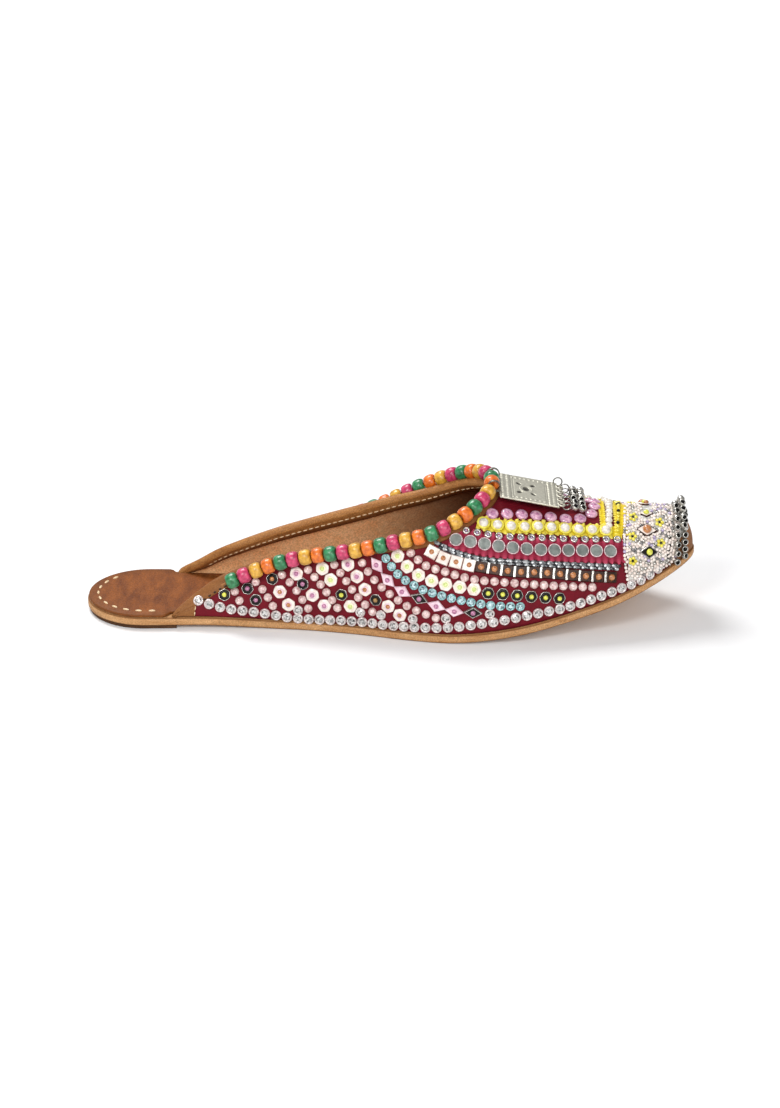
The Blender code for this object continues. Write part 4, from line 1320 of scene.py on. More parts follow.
# %% Rows of sewn work
# kinds are used by turns along the row, size is a diameter in millimetres, places are picture pixels.
Row = namedtuple("Row", "kinds count size places")
SEWN_ROWS = (
    Row(("clear_stone",), 44, 4.2, (
        (198.7, 600.7), (219, 606.6), (252.6, 611.5), (298, 618), (350, 620.5), (401, 626), (443, 627.5),
        (486, 623), (528, 615), (570, 606), (602.5, 595), (621, 588), (640, 580), (658, 568.5))),
    Row(("white_lozenge_pink", "white_lozenge_pink", "white_lozenge_pink", "black_lozenge_pink",
         "white_lozenge_pink", "white_lozenge_pink", "black_lozenge_pink"), 7, 7.4, (
        (377, 565), (389, 581), (402, 591), (421, 599), (440, 607), (455.5, 611), (473, 612.5))),
    Row(("teal_stone",), 16, 3.7, (
        (386.3, 558.3), (397, 573), (413.4, 584.8), (440.4, 595), (469, 601.6), (494, 605.5), (520, 606.2))),
    Row(("white_cap_lime",), 7, 5.8, ((398, 556), (408, 567), (418.6, 575), (444.6, 584), (474, 589))),
    Row(("black_cap_yellow",), 6, 4.9, ((488, 593), (502, 594), (531, 596.5), (559, 598))),
    Row(("pink_pearl",), 20, 3.9, (
        (411, 553), (425, 565), (443, 571), (472, 579), (502, 582), (543, 585), (592, 587))),
    Row(("white_tile_orange",), 4, 5.4, ((432, 552), (443, 558), (456, 562), (469, 565))),
    Row(("dark_tile_orange",), 11, 5.2, ((481, 567), (508, 571), (547, 573), (587, 576), (611, 577))),
    Row(("bar",), 10, 4.9, ((488, 568), (508, 571), (547, 573), (587, 576), (605, 576.6))),
    Row(("cut_bead", "jet_bead"), 46, 2.5, (
        (437, 543), (455, 551), (475, 557), (520, 561.5), (570, 564), (618, 566))),
    Row(("jet_bead", "cut_bead"), 44, 2.0, (
        (441, 548), (457, 554.5), (475, 560), (520, 564.5), (570, 567), (616, 569))),
    Row(("mirror",), 12, 5.4, ((456, 540), (470, 542), (511, 548), (552, 550.6), (580, 551), (610, 551.5))),
    Row(("ring_bead",), 15, 3.4, ((466, 531), (500, 536.5), (540, 538.5), (580, 540), (617, 540))),
    Row(("cupped_pearl",), 10, 4.2, ((483, 524), (511, 527.5), (538, 528), (579, 530.6), (605.5, 531.7))),
    Row(("lilac_disc",), 10, 5.6, (
        (492, 514.4), (521, 515.5), (550, 518), (575, 520), (590, 516), (594, 509), (594, 503))),
    Row(("white_pearl",), 8, 3.3, ((608.5, 527), (608.8, 515), (609, 503.5))),
    Row(("yellow_seed", "yellow_seed", "dark_seed", "yellow_seed"), 14, 1.7, (
        (617.5, 531), (618, 516), (618.5, 503))),
    Row(("pink_pearl",), 2, 3.8, ((235, 591.5), (239.5, 600.4))),
    Row(("pink_pearl",), 4, 3.8, ((256, 582), (262, 588.5), (273, 605.5))),
    Row(("pink_pearl",), 5, 3.8, ((282.3, 574.9), (290.3, 582.5), (308.4, 608))),
    Row(("pink_pearl",), 6, 3.8, ((308.4, 569.8), (320.3, 583.4), (337.8, 607.4))),
    Row(("pink_pearl",), 7, 3.8, ((334.6, 564.7), (346, 580), (358.2, 596.6), (372.8, 611.2))),
    Row(("pink_pearl",), 10, 3.8, ((362.6, 562.8), (374.7, 579.5), (389.4, 593), (408, 606), (436, 617.7))),
)
for row in SEWN_ROWS:
    sew_row(row)
print("rows", len(SEWN_ROWS), "kinds sewn so far", len(sewn))

# %% [markdown]
# ## Loose field
# Behind the rows the wing is filled loosely with enamelled caps and a few stones. Places drawn at random
# would not give the picture's order, so each has its own place, and only the way it is turned is drawn
# at random.

# %% Loose field
# Caps in the loose field behind the rows: kind, and where its middle is in the picture.
FIELD_CAPS = (
    ("black_cap_yellow", (224.6, 594.9)), ("black_cap_pink", (247.6, 588.5)),
    ("black_cap_pink", (256.0, 599.6)), ("black_cap_orange", (272.4, 578.9)),
    ("black_cap_pink", (303.0, 583.7)), ("black_cap_yellow", (341.8, 594.5)),
    ("black_cap_gold", (376.0, 599.6)), ("white_cap_pink", (296.7, 573.7)),
    ("white_cap_lime", (322.7, 568.5)), ("white_cap_pink", (348.2, 564.5)),
    ("white_cap_lime", (331.0, 579.7)), ("white_cap_pink", (357.3, 576.3)),
    ("white_cap_orange", (280.0, 591.7)), ("white_cap_pink", (312.6, 595.0)),
    ("white_cap_orange", (288.7, 604.4)), ("white_cap_pink", (324.6, 605.4)),
    ("white_cap_lime", (350.6, 606.0)), ("white_cap_orange", (365.2, 589.3)),
    ("white_cap_orange", (388.5, 606.0)), ("white_cap_orange", (400.0, 614.8)),
)
FIELD_STONES = (
    (298.3, 609.8), (360.5, 612.0), (381.2, 614.6), (413.0, 618.6), (446.0, 618.0), (489.7, 613.5),
)
# Diameters in millimetres.
CAP_SIZE = 5.8
STONE_SIZE = 4.0
BLACK_CAP_SIZE = 4.8
FIELD_DRAW = 11

field_draw = np.random.default_rng(FIELD_DRAW)
for kind, place in FIELD_CAPS:
    size = BLACK_CAP_SIZE if kind.startswith("black") else CAP_SIZE
    sew(kind, on_vamp([place]), field_draw.normal(size=(1, 3)), size)
stones = on_vamp(FIELD_STONES)
sew("clear_stone", stones, field_draw.normal(size=stones.shape), STONE_SIZE)
print("caps", len(FIELD_CAPS), "stones", len(FIELD_STONES))

# %% [markdown]
# ## Ribbons and cross bands
# Under the mirrors runs a magenta ribbon, under the pearls a yellow one, and two yellow bands cross the
# toe. A ribbon could be a plain strip with painted folds, but folds must catch the light, so each is a
# grid along its line: the strip is settled on the vamp, and towards its borders it is scalloped and
# lifted in small pleats, whose crests also get a painted highlight in a paler tone. The far side is the
# near side mirrored.

# %% Ribbons and cross bands
RIBBON_STEPS = 170
RIBBON_COLUMNS = 13
RIBBON_LIFT = 0.25
SCALLOP = 0.15
PLEAT_DEPTH = 0.5
# How far a pleat's crest is painted towards the pale crest colour: a painted highlight.
CREST_HIGHLIGHT = 0.8
SATIN_THREAD_MM = 0.7

Ribbon = namedtuple("Ribbon", "name finish width pleat places")
Band = namedtuple("Band", "name finish width pleat station low_place")

# Satin ribbon: bright magenta or yellow thread, coarser than the vamp's silk; the pale third tone is a
# painted highlight on the crests of the pleats.
magenta_satin = woven_silk("magenta_ribbon_satin", "#a21b3b", "#5c0a20", SATIN_THREAD_MM, "#d0526c")
yellow_satin = woven_silk("yellow_ribbon_satin", "#e6d01e", "#b99a0c", SATIN_THREAD_MM, "#fbf07a")
RIBBONS = (
    Ribbon("magenta_ribbon", magenta_satin, 10.0, 2.9, (
        (450, 537), (470, 542), (511, 548), (552, 550.6), (595, 551.7), (624, 551.5))),
    Ribbon("yellow_ribbon", yellow_satin, 6.6, 2.9, (
        (477, 522), (497, 526), (538, 527.5), (579, 530.6), (606, 531.7), (622, 532.5))),
)
BANDS = (
    Band("narrow_cross_band", yellow_satin, 2.4, 1.6, 223.2, (600, 527)),
    Band("wide_cross_band", yellow_satin, 5.4, 1.6, 231.0, (618, 535)),
)


def ribbon_strip(line, width, pleat):
    """line + across * half width * side, settled on the vamp; a sine scallops borders, lifts pleats and
    paints a highlight on their crests.
    """
    side = unit(np.cross(vamp_normal(line), np.gradient(line, axis=0)))
    fold = np.sin(2 * math.pi * distances(line) / pleat)[:, None]
    across = np.linspace(-1.0, 1.0, RIBBON_COLUMNS)
    reach = width / 2 * across * (1.0 + SCALLOP * fold * across ** 2)
    laid = settle(line[:, None] + reach[..., None] * side[:, None])
    out = vamp_normal(laid)
    crest = (0.5 + 0.5 * fold) * across ** 2
    lift = RIBBON_LIFT + PLEAT_DEPTH * crest
    points, faces = closed_sheet(laid + lift[..., None] * out, laid + HAIR * out)
    # The fold values are a painted highlight on the crests of the pleats.
    return points, faces, {"fold": np.tile(CREST_HIGHLIGHT * crest.ravel(), 2)}


def cross_line(station, end_place):
    """A line over the vamp at one station, from a place on the near side to its mirror on the far side."""
    end = on_vamp([end_place])[0, 1]
    y = np.linspace(end, -end, RIBBON_STEPS)
    return by_length(raised(np.stack((station + 0 * y, y), axis=1)), RIBBON_STEPS)


for ribbon in RIBBONS:
    line = by_length(on_vamp(through(ribbon.places, RIBBON_STEPS)), RIBBON_STEPS)
    points, faces, painted_highlights = ribbon_strip(line, ribbon.width, ribbon.pleat)
    for side, flip in SIDES:
        strip = make_piece(f"{ribbon.name}_{side}", points * flip, faces, ribbon.finish, values=painted_highlights)
for band in BANDS:
    points, faces, painted_highlights = ribbon_strip(cross_line(band.station, band.low_place), band.width, band.pleat)
    make_piece(band.name, points, faces, band.finish, values=painted_highlights)

# %% [markdown]
# ## Lace over the toe
# The toe is covered with white metallic lace. A net of real threads would need many thousands of faces
# that the seed beads hide again, so the lace is one thin sheet on the vamp, from the cross band to the
# bells, with a finely broken finish.

# %% Lace over the toe
LACE_REAR = 233.6
LACE_FRONT = 258.5
LACE_STEPS = 40
LACE_COLUMNS = 70
LACE_FULL = 0.995
LACE_LIFT = 0.3

# Lace of white and silver thread: bright, finely broken, with a slight metal glint.
lace_thread = plain_finish("silver_white_lace", "#e9e7e0", "#98958f", 0.9, 0.45, metallic=0.1, depth_mm=0.5)
lace_under, lace_out = vamp_patch(LACE_REAR, LACE_FRONT, LACE_FULL, LACE_STEPS, LACE_COLUMNS)
lace_sheet = closed_sheet(lace_under + LACE_LIFT * lace_out, lace_under + HAIR * lace_out)
lace = make_piece("toe_lace", *lace_sheet, lace_thread)
print("lace points", lace_under.shape[0] * lace_under.shape[1])

# %% [markdown]
# ## Seeds and flowers on the lace
# The lace is sewn all over with tiny silver and white seed beads, a few enamel lozenges and yellow flowers.
# A regular grid of seeds would look printed, so they are thrown at random and pushed apart, because sewn
# seed beads touch but do not form rows.

# %% Seeds and flowers on the lace
SEED_SIZE = 1.6
SEED_ROOM = 1.05
LACE_SEEDS = 400
LACE_DRAW = 21
MOTIF_REACH = 2.7
PETAL_SEED = 1.7
HEART_SEED = 1.1
SEED_TURNS = (
    "white_seed", "white_seed", "silver_seed", "white_seed", "white_seed", "grey_seed", "white_seed",
    "silver_seed", "white_seed", "white_seed", "white_seed", "white_seed", "white_seed", "violet_seed",
)
FLOWER_PETALS = 5
PETAL_REACH = 1.25
LACE_BORDER = (
    (625, 506), (645, 503.5), (668, 502), (674, 506), (677, 520), (677, 540), (675, 556), (669, 563.5),
    (657, 570), (642, 575), (627, 580), (624, 560), (624, 536),
)
Motif = namedtuple("Motif", "kind size place")
MOTIFS = (
    Motif("black_eye_yellow", 6.6, (648, 552)),
    Motif("white_eye_orange", 6.4, (646, 531)),
    Motif("white_eye_yellow", 4.2, (646, 515)),
    Motif("white_eye_orange", 4.0, (646, 505.5)),
)
FLOWERS = ((632, 537), (632, 561), (660, 543), (659, 523), (633, 518))
DASH_LINE = ((667, 524), (669, 540), (667, 556))
DASH_WAY = (0.3, 1.0, 0.0)
DASHES = 9
DASH_SIZE = 2.4
FORWARD = (1.0, 0.0, 0.0)
# The pushing apart of places thrown at random, and how many are thrown for each one kept.
PX_PER_MM = 2.3
PUSH_ROUNDS = 60
PUSH_SHARE = 0.4
CROWDED = 0.84
THROWS = 40


def inside_border(places, border):
    """True where a level line from a place crosses a closed border an odd number of times."""
    start = np.asarray(border, dtype=float)
    end = np.roll(start, -1, axis=0)
    x, y = places[:, :1], places[:, 1:]
    spans = (start[:, 1] > y) != (end[:, 1] > y)
    cross = start[:, 0] + (y - start[:, 1]) / (end[:, 1] - start[:, 1] + SMALL) * (end[:, 0] - start[:, 0])
    return np.sum(spans & (x < cross), axis=1) % 2 == 1


def spread_out(border, fixed, fixed_reach, reach, count, seed):
    """Places thrown into a border, then pushed apart and off the fixed ones, round by round."""
    low, high = np.min(border, axis=0), np.max(border, axis=0)
    thrown = np.random.default_rng(seed).uniform(low, high, (THROWS * count, 2))
    places = thrown[inside_border(thrown, border)][:count]
    for _ in range(PUSH_ROUNDS):
        others = np.concatenate((places, fixed))
        wanted = np.concatenate((np.full(count, reach), np.full(len(fixed), fixed_reach)))
        gap = places[:, None] - others
        apart = np.linalg.norm(gap, axis=2) + SMALL
        push = np.where(apart > 2 * SMALL, np.maximum(wanted - apart, 0.0), 0.0)
        moved = places + PUSH_SHARE * np.sum(gap / apart[..., None] * push[..., None], axis=1)
        places = np.where(inside_border(moved, border)[:, None], moved, places)
    off_fixed = np.linalg.norm(places[:, None] - fixed, axis=2).min(axis=1)
    return places[off_fixed > CROWDED * fixed_reach]


def sew_alike(kind, centres, size, way=FORWARD):
    """Ornaments of one kind that all point the same way."""
    sew(kind, centres, np.tile(way, (len(centres), 1)), size)


for motif in MOTIFS:
    sew_alike(motif.kind, on_vamp([motif.place]), motif.size)
flower_turn = np.linspace(0.0, 2 * math.pi, FLOWER_PETALS, endpoint=False)
petal_step = PX_PER_MM * PETAL_REACH * np.stack((np.cos(flower_turn), np.sin(flower_turn)), axis=1)
sew_alike("yellow_seed", on_vamp((np.array(FLOWERS)[:, None] + petal_step).reshape(-1, 2)), PETAL_SEED)
sew_alike("dark_seed", on_vamp(FLOWERS), HEART_SEED)
sew_alike("dark_bar", on_vamp(through(DASH_LINE, DASHES)), DASH_SIZE, DASH_WAY)

lace_taken = np.array([motif.place for motif in MOTIFS] + list(FLOWERS))
seed_places = spread_out(LACE_BORDER, lace_taken, PX_PER_MM * MOTIF_REACH, PX_PER_MM * SEED_SIZE * SEED_ROOM,
                         LACE_SEEDS, LACE_DRAW)
seeds = on_vamp(seed_places)
for turn, kind in enumerate(SEED_TURNS):
    sew_alike(kind, seeds[turn::len(SEED_TURNS)], SEED_SIZE)
print("seeds on the lace", len(seeds))

# %% [markdown]
# ## Setting the sewn work
# Everything that was sewn is now set on the silk, standing square on the vamp. Each ornament could be an
# object, but a thousand objects are hard to handle, so all copies of one part are joined in one mesh.
# Stones get a number for each facet here, which paints its reflection bright or dark.

# %% Setting the sewn work
SEAT = 0.05
REFLECTION_DRAW = 8
# Two numbers of a beta spread: the painted reflections are mostly bright or dark, and few lie between.
REFLECTION_SPREAD = (0.9, 0.6)


def set_pieces():
    """One piece for each part name, joined from all the kinds that use it; gives the number of pieces."""
    bodies = {}
    looks = {}
    for kind, groups in sewn.items():
        centres, along, sizes = (np.concatenate(group) for group in zip(*groups))
        out = vamp_normal(centres)
        for part in KINDS[kind]:
            lifted = centres + (part.lift + SEAT) * out
            body = copies(part.shape, lifted, out, along, part.scale * sizes)
            bodies.setdefault(part.piece, []).append(body)
            looks[part.piece] = part
    for name, group in bodies.items():
        piece = make_piece(name, *join(*group), looks[name].finish, smooth=looks[name].smooth)
        # Painted reflection: each face of a stone gets a random number between its dark and bright tone.
        if looks[name].shape is STONE:
            facet_reflection = piece.data.attributes.new("facet_reflection", "FLOAT", "FACE")
            numbers = np.random.default_rng(REFLECTION_DRAW).beta(*REFLECTION_SPREAD, len(piece.data.polygons))
            facet_reflection.data.foreach_set("value", numbers.astype(np.float32))
    return len(bodies)


print("sewn pieces", set_pieces())

# %% [markdown]
# ## Bell and plate metal
# The bells and the pendant are white metal, bright on the rounds. The plate keeps dirt and patina in its
# stamped grooves, and the inside of a bell's mouth lies in shade. Ambient occlusion could find the hollows,
# but it does not export, so a number on the points says where the metal is dark: patina in a stamped
# groove, and painted shade inside a bell's mouth.

# %% Bell and plate metal


def oxidised(name, bright, dark, spot_mm, roughness, tarnish):
    """White metal: tarnished in clouds, and dark where a number on the points says so: patina in the plate's
    grooves, painted shade in the bells' mouths.

    The tone runs from dark to bright with the cloud, which goes down to 1 - tarnish, less that number.
    """
    finish, tree, shader = start_finish(name, Roughness=roughness, Metallic=0.85)
    place = add_node(tree, "ShaderNodeTexCoord").outputs["Object"]
    spots = add_node(tree, "ShaderNodeTexNoise", Vector=place, Scale=1 / (spot_mm * MM), Detail=4.0)
    spread = add_node(tree, "ShaderNodeMapRange", Value=spots.outputs["Fac"], From_Min=0.3, From_Max=0.7,
                      To_Min=1.0 - tarnish, To_Max=1.0)
    patina_and_shade = add_node(tree, "ShaderNodeAttribute", {"attribute_name": "patina_and_shade"})
    clean = add_node(tree, "ShaderNodeMath", {"operation": "SUBTRACT"}, i0=spread.outputs["Result"],
                     i1=patina_and_shade.outputs["Fac"])
    bare = add_node(tree, "ShaderNodeClamp", Value=clean.outputs[0])
    tone = add_node(tree, "ShaderNodeMix", {"data_type": "RGBA"}, i0=bare.outputs["Result"],
                    i6=linear(dark), i7=linear(bright))
    lift = add_node(tree, "ShaderNodeBump", Height=spots.outputs["Fac"], Strength=0.3, Distance=0.08 * MM)
    tree.links.new(tone.outputs[2], shader.inputs["Base Color"])
    tree.links.new(lift.outputs["Normal"], shader.inputs["Normal"])
    return finish


# Bell metal: tin-white and bright on the rounds; nearly black in the mouths, which is painted shade.
bell_metal = oxidised("oxidised_bell_metal", "#d6d3cb", "#0f0d0b", 0.9, 0.26, 0.45)
# Plate metal: paler and greyer, stamped thin, dirt left in the hollows.
plate_metal = oxidised("oxidised_plate_metal", "#dcd9c8", "#2a2722", 1.2, 0.48, 0.18)
print("metals", bell_metal.name, plate_metal.name)

# %% [markdown]
# ## Bells over the toe
# A ghungroo is a tiny hollow bell of white metal with a dark mouth. Two rows of them hang over the toe, and
# a third, shorter one is heaped on top of them. Each row is an arc over the vamp. Balls would be
# simpler, but the dark mouths are what shows, so each bell is turned as a hollow ball with a rolled mouth,
# whose inside is painted near black as painted shade.

# %% Bells over the toe
BELL_PROFILE = (
    (0.0, -1.0), (0.55, -0.86), (0.90, -0.48), (1.0, 0.0), (0.94, 0.46), (0.78, 0.74), (0.66, 0.84),
    (0.54, 0.80), (0.50, 0.40), (0.0, 0.20),
)
# Darkness of each point of the profile, from the back pole to the mouth: painted shade inside the mouth, and
# a darker back pole.
BELL_SHADE = np.array((0.5, 0.15, 0.0, 0.1, 0.0, 0.25, 0.0, 0.5, 1.0, 1.0))
BELL_SIDES = 12
TOE_BELL_RADIUS = 1.6
TOE_BELL_DRAW = 17
# A bell's mouth faces off the vamp and to the nearer side, leans forward and up, and tumbles a little.
FACE_OFF = 0.5
FACE_SIDE = 0.9
FACE_LEAN = np.array((0.2, 0.0, 0.45))
BELL_TUMBLE = 0.3
RIDGE_HALF = 0.5
BellRow = namedtuple("BellRow", "station stand_off count first_turn last_turn")
TOE_BELL_ROWS = (
    BellRow(257.5, 2.0, 15, 4.0, 176.0),
    BellRow(254.4, 1.9, 15, 2.0, 178.0),
    BellRow(255.2, 5.1, 8, 48.0, 132.0),
)


def bell_values(copies_made):
    """The darkness number of every point of copied bells, painted shade in the mouths: rings of points, then
    the two poles.
    """
    rings = np.repeat(BELL_SHADE[1:-1], BELL_SIDES)
    return np.tile(np.concatenate((rings, BELL_SHADE[[0, -1]])), copies_made)


BELL = turned(BELL_PROFILE, BELL_SIDES)


def toe_arc(row):
    """Places over the toe at one station, a little off the vamp, evenly between two turns in degrees."""
    turn = np.radians(np.linspace(row.first_turn, row.last_turn, FINE_STEPS))
    y = -vamp_base(row.station) * np.cos(turn)
    arc = raised(np.stack((row.station + 0 * y, y), axis=1))
    return by_length(arc + row.stand_off * vamp_normal(arc), row.count)


bell_draw = np.random.default_rng(TOE_BELL_DRAW)
toe_places = np.concatenate([toe_arc(row) for row in TOE_BELL_ROWS])
to_side = np.array((0.0, 1.0, 0.0)) * np.where(toe_places[:, 1:2] < RIDGE_HALF, -1.0, 1.0)
tumble = BELL_TUMBLE * bell_draw.normal(size=toe_places.shape)
facing = unit(FACE_OFF * vamp_normal(toe_places) + FACE_SIDE * to_side + FACE_LEAN + tumble)
body = copies(BELL, toe_places, facing, bell_draw.normal(size=toe_places.shape), TOE_BELL_RADIUS)
# Painted shade: each bell's mouth is painted near black.
toe_bells = make_piece("toe_ghungroo_bells", *body, bell_metal, slot="bell_metal",
                       values={"patina_and_shade": bell_values(len(toe_places))})
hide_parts("toe_bells")
print("toe bells", len(toe_places))

# %% [markdown]
# ## Stamping of the plate
# The pendant is stamped from thin white metal: a field with a sunk oval and four petals, and dotted
# borders. A picture of the stamping would not catch light, so the plate is a fine height field: every
# mark is a bump or a dip added to one grid, and a dip is darker.

# %% Stamping of the plate
PLATE_START = 4.2
PLATE_END = 30.0
PLATE_HALF = 13.0
PLATE_TOP = -0.55
PLATE_UNDER = -1.35
PLATE_GRID = 0.2
FIELD_START = 10.0
FIELD_END = 25.0
DOT_PITCH = 2.0
DOT_RADIUS = 0.76
DOT_HEIGHT = 0.22
DOT_COLUMNS = (5.9, 8.1, 26.3, 28.2)
GROOVES = (4.8, 9.4, 10.4, 24.6, 25.4, 29.3)
EDGE_DOTS = 10.7
EDGE_GROOVES = (11.9, 9.4)
GROOVE_HALF = 0.28
GROOVE_DEPTH = 0.12
GROOVE_DARK = 0.14
BORDER_DARK = 0.09
CENTRE = 16.0
OVAL = (1.6, 2.4)
OVAL_FRAME = (2.6, 3.6)
FRAME_HALF = 0.14
FRAME_HEIGHT = 0.15
PETAL_PLACE = (3.05, 4.6)
PETAL = (1.5, 1.05)
PETAL_TURN = math.radians(50.0)
STAMP_DEPTH = 0.35
STAMP_DARK = 0.88


def bump(away):
    """1 at a middle, 0 from a distance of 1 on, round on top."""
    return np.sqrt(np.maximum(1.0 - away ** 2, 0.0))


def to_dot(place):
    """Distance to the nearest of a row of dots."""
    return np.abs((place + DOT_PITCH / 2) % DOT_PITCH - DOT_PITCH / 2)


def plate_relief(x, y):
    """Height and darkness of the stamping: dots and a frame stand up, grooves, petals and oval go down."""
    in_field = (x > FIELD_START) & (x < FIELD_END)
    dots = sum(bump(np.hypot(x - middle, to_dot(y)) / DOT_RADIUS) for middle in DOT_COLUMNS)
    dots = dots + in_field * bump(np.hypot(np.abs(y) - EDGE_DOTS, to_dot(x)) / DOT_RADIUS)
    lines = sum(bump((x - middle) / GROOVE_HALF) for middle in GROOVES)
    lines = lines + sum(in_field * bump((np.abs(y) - middle) / GROOVE_HALF) for middle in EDGE_GROOVES)
    lines = np.minimum(lines, 1.0)
    oval = bump(np.hypot((x - CENTRE) / OVAL[0], y / OVAL[1]))
    oval_frame = bump((np.hypot((x - CENTRE) / OVAL_FRAME[0], y / OVAL_FRAME[1]) - 1.0) / FRAME_HALF)
    dx = np.abs(x - CENTRE) - PETAL_PLACE[0]
    dy = np.abs(y) - PETAL_PLACE[1]
    long_way = dx * math.cos(PETAL_TURN) + dy * math.sin(PETAL_TURN)
    short_way = -dx * math.sin(PETAL_TURN) + dy * math.cos(PETAL_TURN)
    petal = bump(np.hypot(long_way / PETAL[0], short_way / PETAL[1]))
    height = DOT_HEIGHT * dots + FRAME_HEIGHT * oval_frame
    height = height - GROOVE_DEPTH * lines - STAMP_DEPTH * (oval + petal)
    dark = GROOVE_DARK * lines + STAMP_DARK * (np.sqrt(oval) + np.sqrt(petal))
    in_border = (x < FIELD_START) | (x > FIELD_END)
    return height, dark + BORDER_DARK * (1.0 - np.minimum(dots, 1.0)) * in_border


plate_x = np.arange(PLATE_START, PLATE_END + PLATE_GRID / 2, PLATE_GRID)[:, None]
plate_y = np.arange(-PLATE_HALF, PLATE_HALF + PLATE_GRID / 2, PLATE_GRID)
relief, dark = plate_relief(plate_x, plate_y)
flat = np.stack((plate_x + 0 * plate_y, plate_y + 0 * plate_x, PLATE_TOP + relief), axis=2)
under = flat.copy()
under[..., 2] = PLATE_UNDER
plate_body = closed_sheet(flat, under)
print("points of the plate", len(plate_body[0]))

# %% [markdown]
# ## Plate, bails and loops
# The plate hangs on the bead string by two bails and carries a row of loops for the bells. They could be
# pieces of their own, but they move as one, so they are joined. All is worked out in the plate's own
# frame, along its length from the hinge, and then turned to its place.

# %% Plate, bails and loops
HINGE = np.array((175.008, 0.0, 58.759))
PENDANT_PITCH = math.radians(11.0)
BAIL_Y = 6.97
BAIL_CENTRE = (1.4, 0.9)
BAIL_SECTION = ((2.4, -0.6), (2.4, 0.6), (2.6, 0.72), (2.8, 0.6), (2.9, 0.0), (2.8, -0.6), (2.6, -0.72))
BAIL_SIDES = 28
BAIL_TARNISH = 0.7
# A small tab under the plate's end holds each bail.
TAB_PLACE = (3.7, -0.95)
TAB_SCALE = (1.9, 0.95, 1.2)
LOOP_X = 31.1
LOOP_SIDES = 16
LOOP_SECTION = ((1.0, 0.0), (1.2, 0.4), (1.5, 0.45), (1.85, 0.2), (1.85, -0.2), (1.5, -0.45), (1.2, -0.4))
RING_RADIUS = 1.9
RING_WIRE = 0.28
RING_SIDES = 20
RING_TURNS = np.linspace(0.0, 2 * math.pi, 6, endpoint=False)
RING_SECTION = np.stack((RING_RADIUS + RING_WIRE * np.cos(RING_TURNS), RING_WIRE * np.sin(RING_TURNS)),
                        axis=1)
# A spare jump ring stands in a hole at the plate's far corner.
SPARE_RING = np.array(((30.3, 12.2, 0.5),))
DANGLES = 5
DANGLE_PITCH = 4.8
DANGLE_X = 32.55
DANGLE_Z = -0.9


def in_plate(points):
    """Points of the plate's frame turned down by the pitch and moved to the hinge."""
    turn = np.array(((math.cos(PENDANT_PITCH), 0.0, -math.sin(PENDANT_PITCH)), (0.0, 1.0, 0.0),
                     (math.sin(PENDANT_PITCH), 0.0, math.cos(PENDANT_PITCH))))
    return np.asarray(points) @ turn + HINGE


def at_bails(along, height):
    """The two places of the bails' middles across the plate, at a distance along it and a height."""
    return np.array([(along, side * BAIL_Y, height) for side in (-1, 1)])


dangle_y = DANGLE_PITCH * (np.arange(DANGLES) - (DANGLES - 1) / 2)
loop_places = np.stack((np.full(DANGLES, LOOP_X), dangle_y, np.full(DANGLES, DANGLE_Z)), axis=1)
level = np.tile((0.0, 0.0, 1.0), (DANGLES, 1))
ahead = np.tile(FORWARD, (DANGLES, 1))
across = np.tile((0.0, 1.0, 0.0), (2, 1))
loops = copies(turned_ring(LOOP_SECTION, LOOP_SIDES), loop_places, level, ahead, 1.0)
bails = copies(turned_ring(BAIL_SECTION, BAIL_SIDES), at_bails(*BAIL_CENTRE), across, ahead[:2], 1.0)
tabs = copies(drawn_out(SQUARE, *TAB_SCALE), at_bails(*TAB_PLACE), level[:2], ahead[:2], 1.0)
JUMP_RING = turned_ring(RING_SECTION, RING_SIDES)
spare = copies(JUMP_RING, SPARE_RING, across[:1], ahead[:1], 1.0)
points, faces = join(plate_body, loops, bails, tabs, spare)
patina_and_shade = np.zeros(len(points))
patina_and_shade[:dark.size] = dark.ravel()
patina_and_shade[len(plate_body[0]) + len(loops[0]):] = BAIL_TARNISH
plate = make_piece("stamped_pendant_plate", in_plate(points), faces, plate_metal, body="pendant",
                   values={"patina_and_shade": patina_and_shade}, slot="dark_silver")
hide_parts("pendant_plate")
print("plate points", len(points))

# %% [markdown]
# ## Dangling bells
# From every loop of the plate hangs a jump ring with two bells. They could be joined to the plate, but each
# set turns on its own hinge, so each is a piece of its own that rides its own body. Rings and bells are
# turned shapes in the plate's frame, and the mouths point to different sides, as on loose bells.

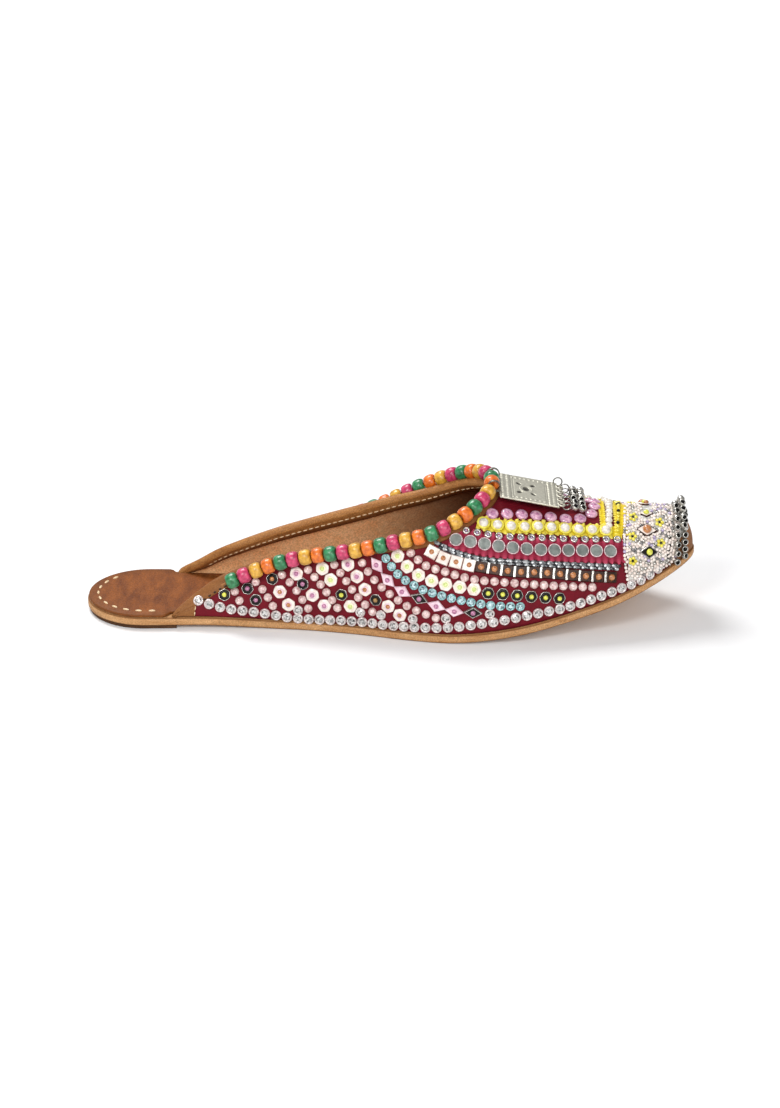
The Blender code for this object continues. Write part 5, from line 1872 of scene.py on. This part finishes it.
# %% Dangling bells
RING_REACH = np.array(((1.0, 0.0, 0.0),))
RING_HOLLOW = 0.35
DANGLE_BELL = 1.75
BELL_REACH = np.array(((4.5, 0.0, 0.0), (7.8, 0.0, 0.0)))
BELL_LEAN = np.array((0.35, -0.55, 0.75))
BELL_SPREAD = 0.45
DANGLE_DRAW = 29
bell_ways = np.random.default_rng(DANGLE_DRAW)
for number, y in enumerate(dangle_y, start=1):
    hinge = np.array((DANGLE_X, y, DANGLE_Z))
    ring = copies(JUMP_RING, hinge + RING_REACH, across[:1], ahead[:1], 1.0)
    way = unit(BELL_LEAN + BELL_SPREAD * bell_ways.normal(size=BELL_REACH.shape))
    bells = copies(BELL, hinge + BELL_REACH, way, ahead[:2], DANGLE_BELL)
    points, faces = join(ring, bells)
    # Painted shade: the bells' mouths are painted near black; the ring is evenly darker.
    patina_and_shade = np.concatenate((np.full(len(ring[0]), RING_HOLLOW), bell_values(len(BELL_REACH))))
    piece = make_piece(f"bell_dangle_{number}", in_plate(points), faces, bell_metal, body=f"dangle_{number}",
                       values={"patina_and_shade": patina_and_shade}, slot="bell_metal")
    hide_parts(f"dangle_{number}")
print("dangles", DANGLES)

# %% [markdown]
# ## Floor
# The floor is a plain pale sheet that catches the shoe's shadow. It could be lit until it is white, but then
# the shoe would be too bright, so it glows a little, and more the further it is from the shoe.

# %% Floor
FLOOR_SIZE = 6.0
# The glow near the shoe and far from it, and the distances in metres between which it grows.
FLOOR_GLOW = (0.04, 0.75)
GLOW_REACH = (0.17, 0.60)
corners = np.array(((-1.0, -1.0, 0.0), (1.0, -1.0, 0.0), (1.0, 1.0, 0.0), (-1.0, 1.0, 0.0)))
floor_mesh = bpy.data.meshes.new("floor")
floor_mesh.from_pydata((FLOOR_SIZE * corners).tolist(), [], [(0, 1, 2, 3)])
# Pale matt paper, white all round a soft grey shadow.
paper, tree, shader = start_finish("white_paper_floor", Base_Color=linear("#e4e4e4"), Roughness=0.9,
                                   Emission_Color=linear("#ffffff"))
place = add_node(tree, "ShaderNodeTexCoord").outputs["Object"]
away = add_node(tree, "ShaderNodeVectorMath", {"operation": "LENGTH"}, i0=place)
glow = add_node(tree, "ShaderNodeMapRange", Value=away.outputs["Value"], From_Min=GLOW_REACH[0],
                From_Max=GLOW_REACH[1], To_Min=FLOOR_GLOW[0], To_Max=FLOOR_GLOW[1])
tree.links.new(glow.outputs["Result"], shader.inputs["Emission Strength"])
floor_mesh.materials.append(paper)
floor = bpy.data.objects.new("floor", floor_mesh)
bpy.context.scene.collection.objects.link(floor)
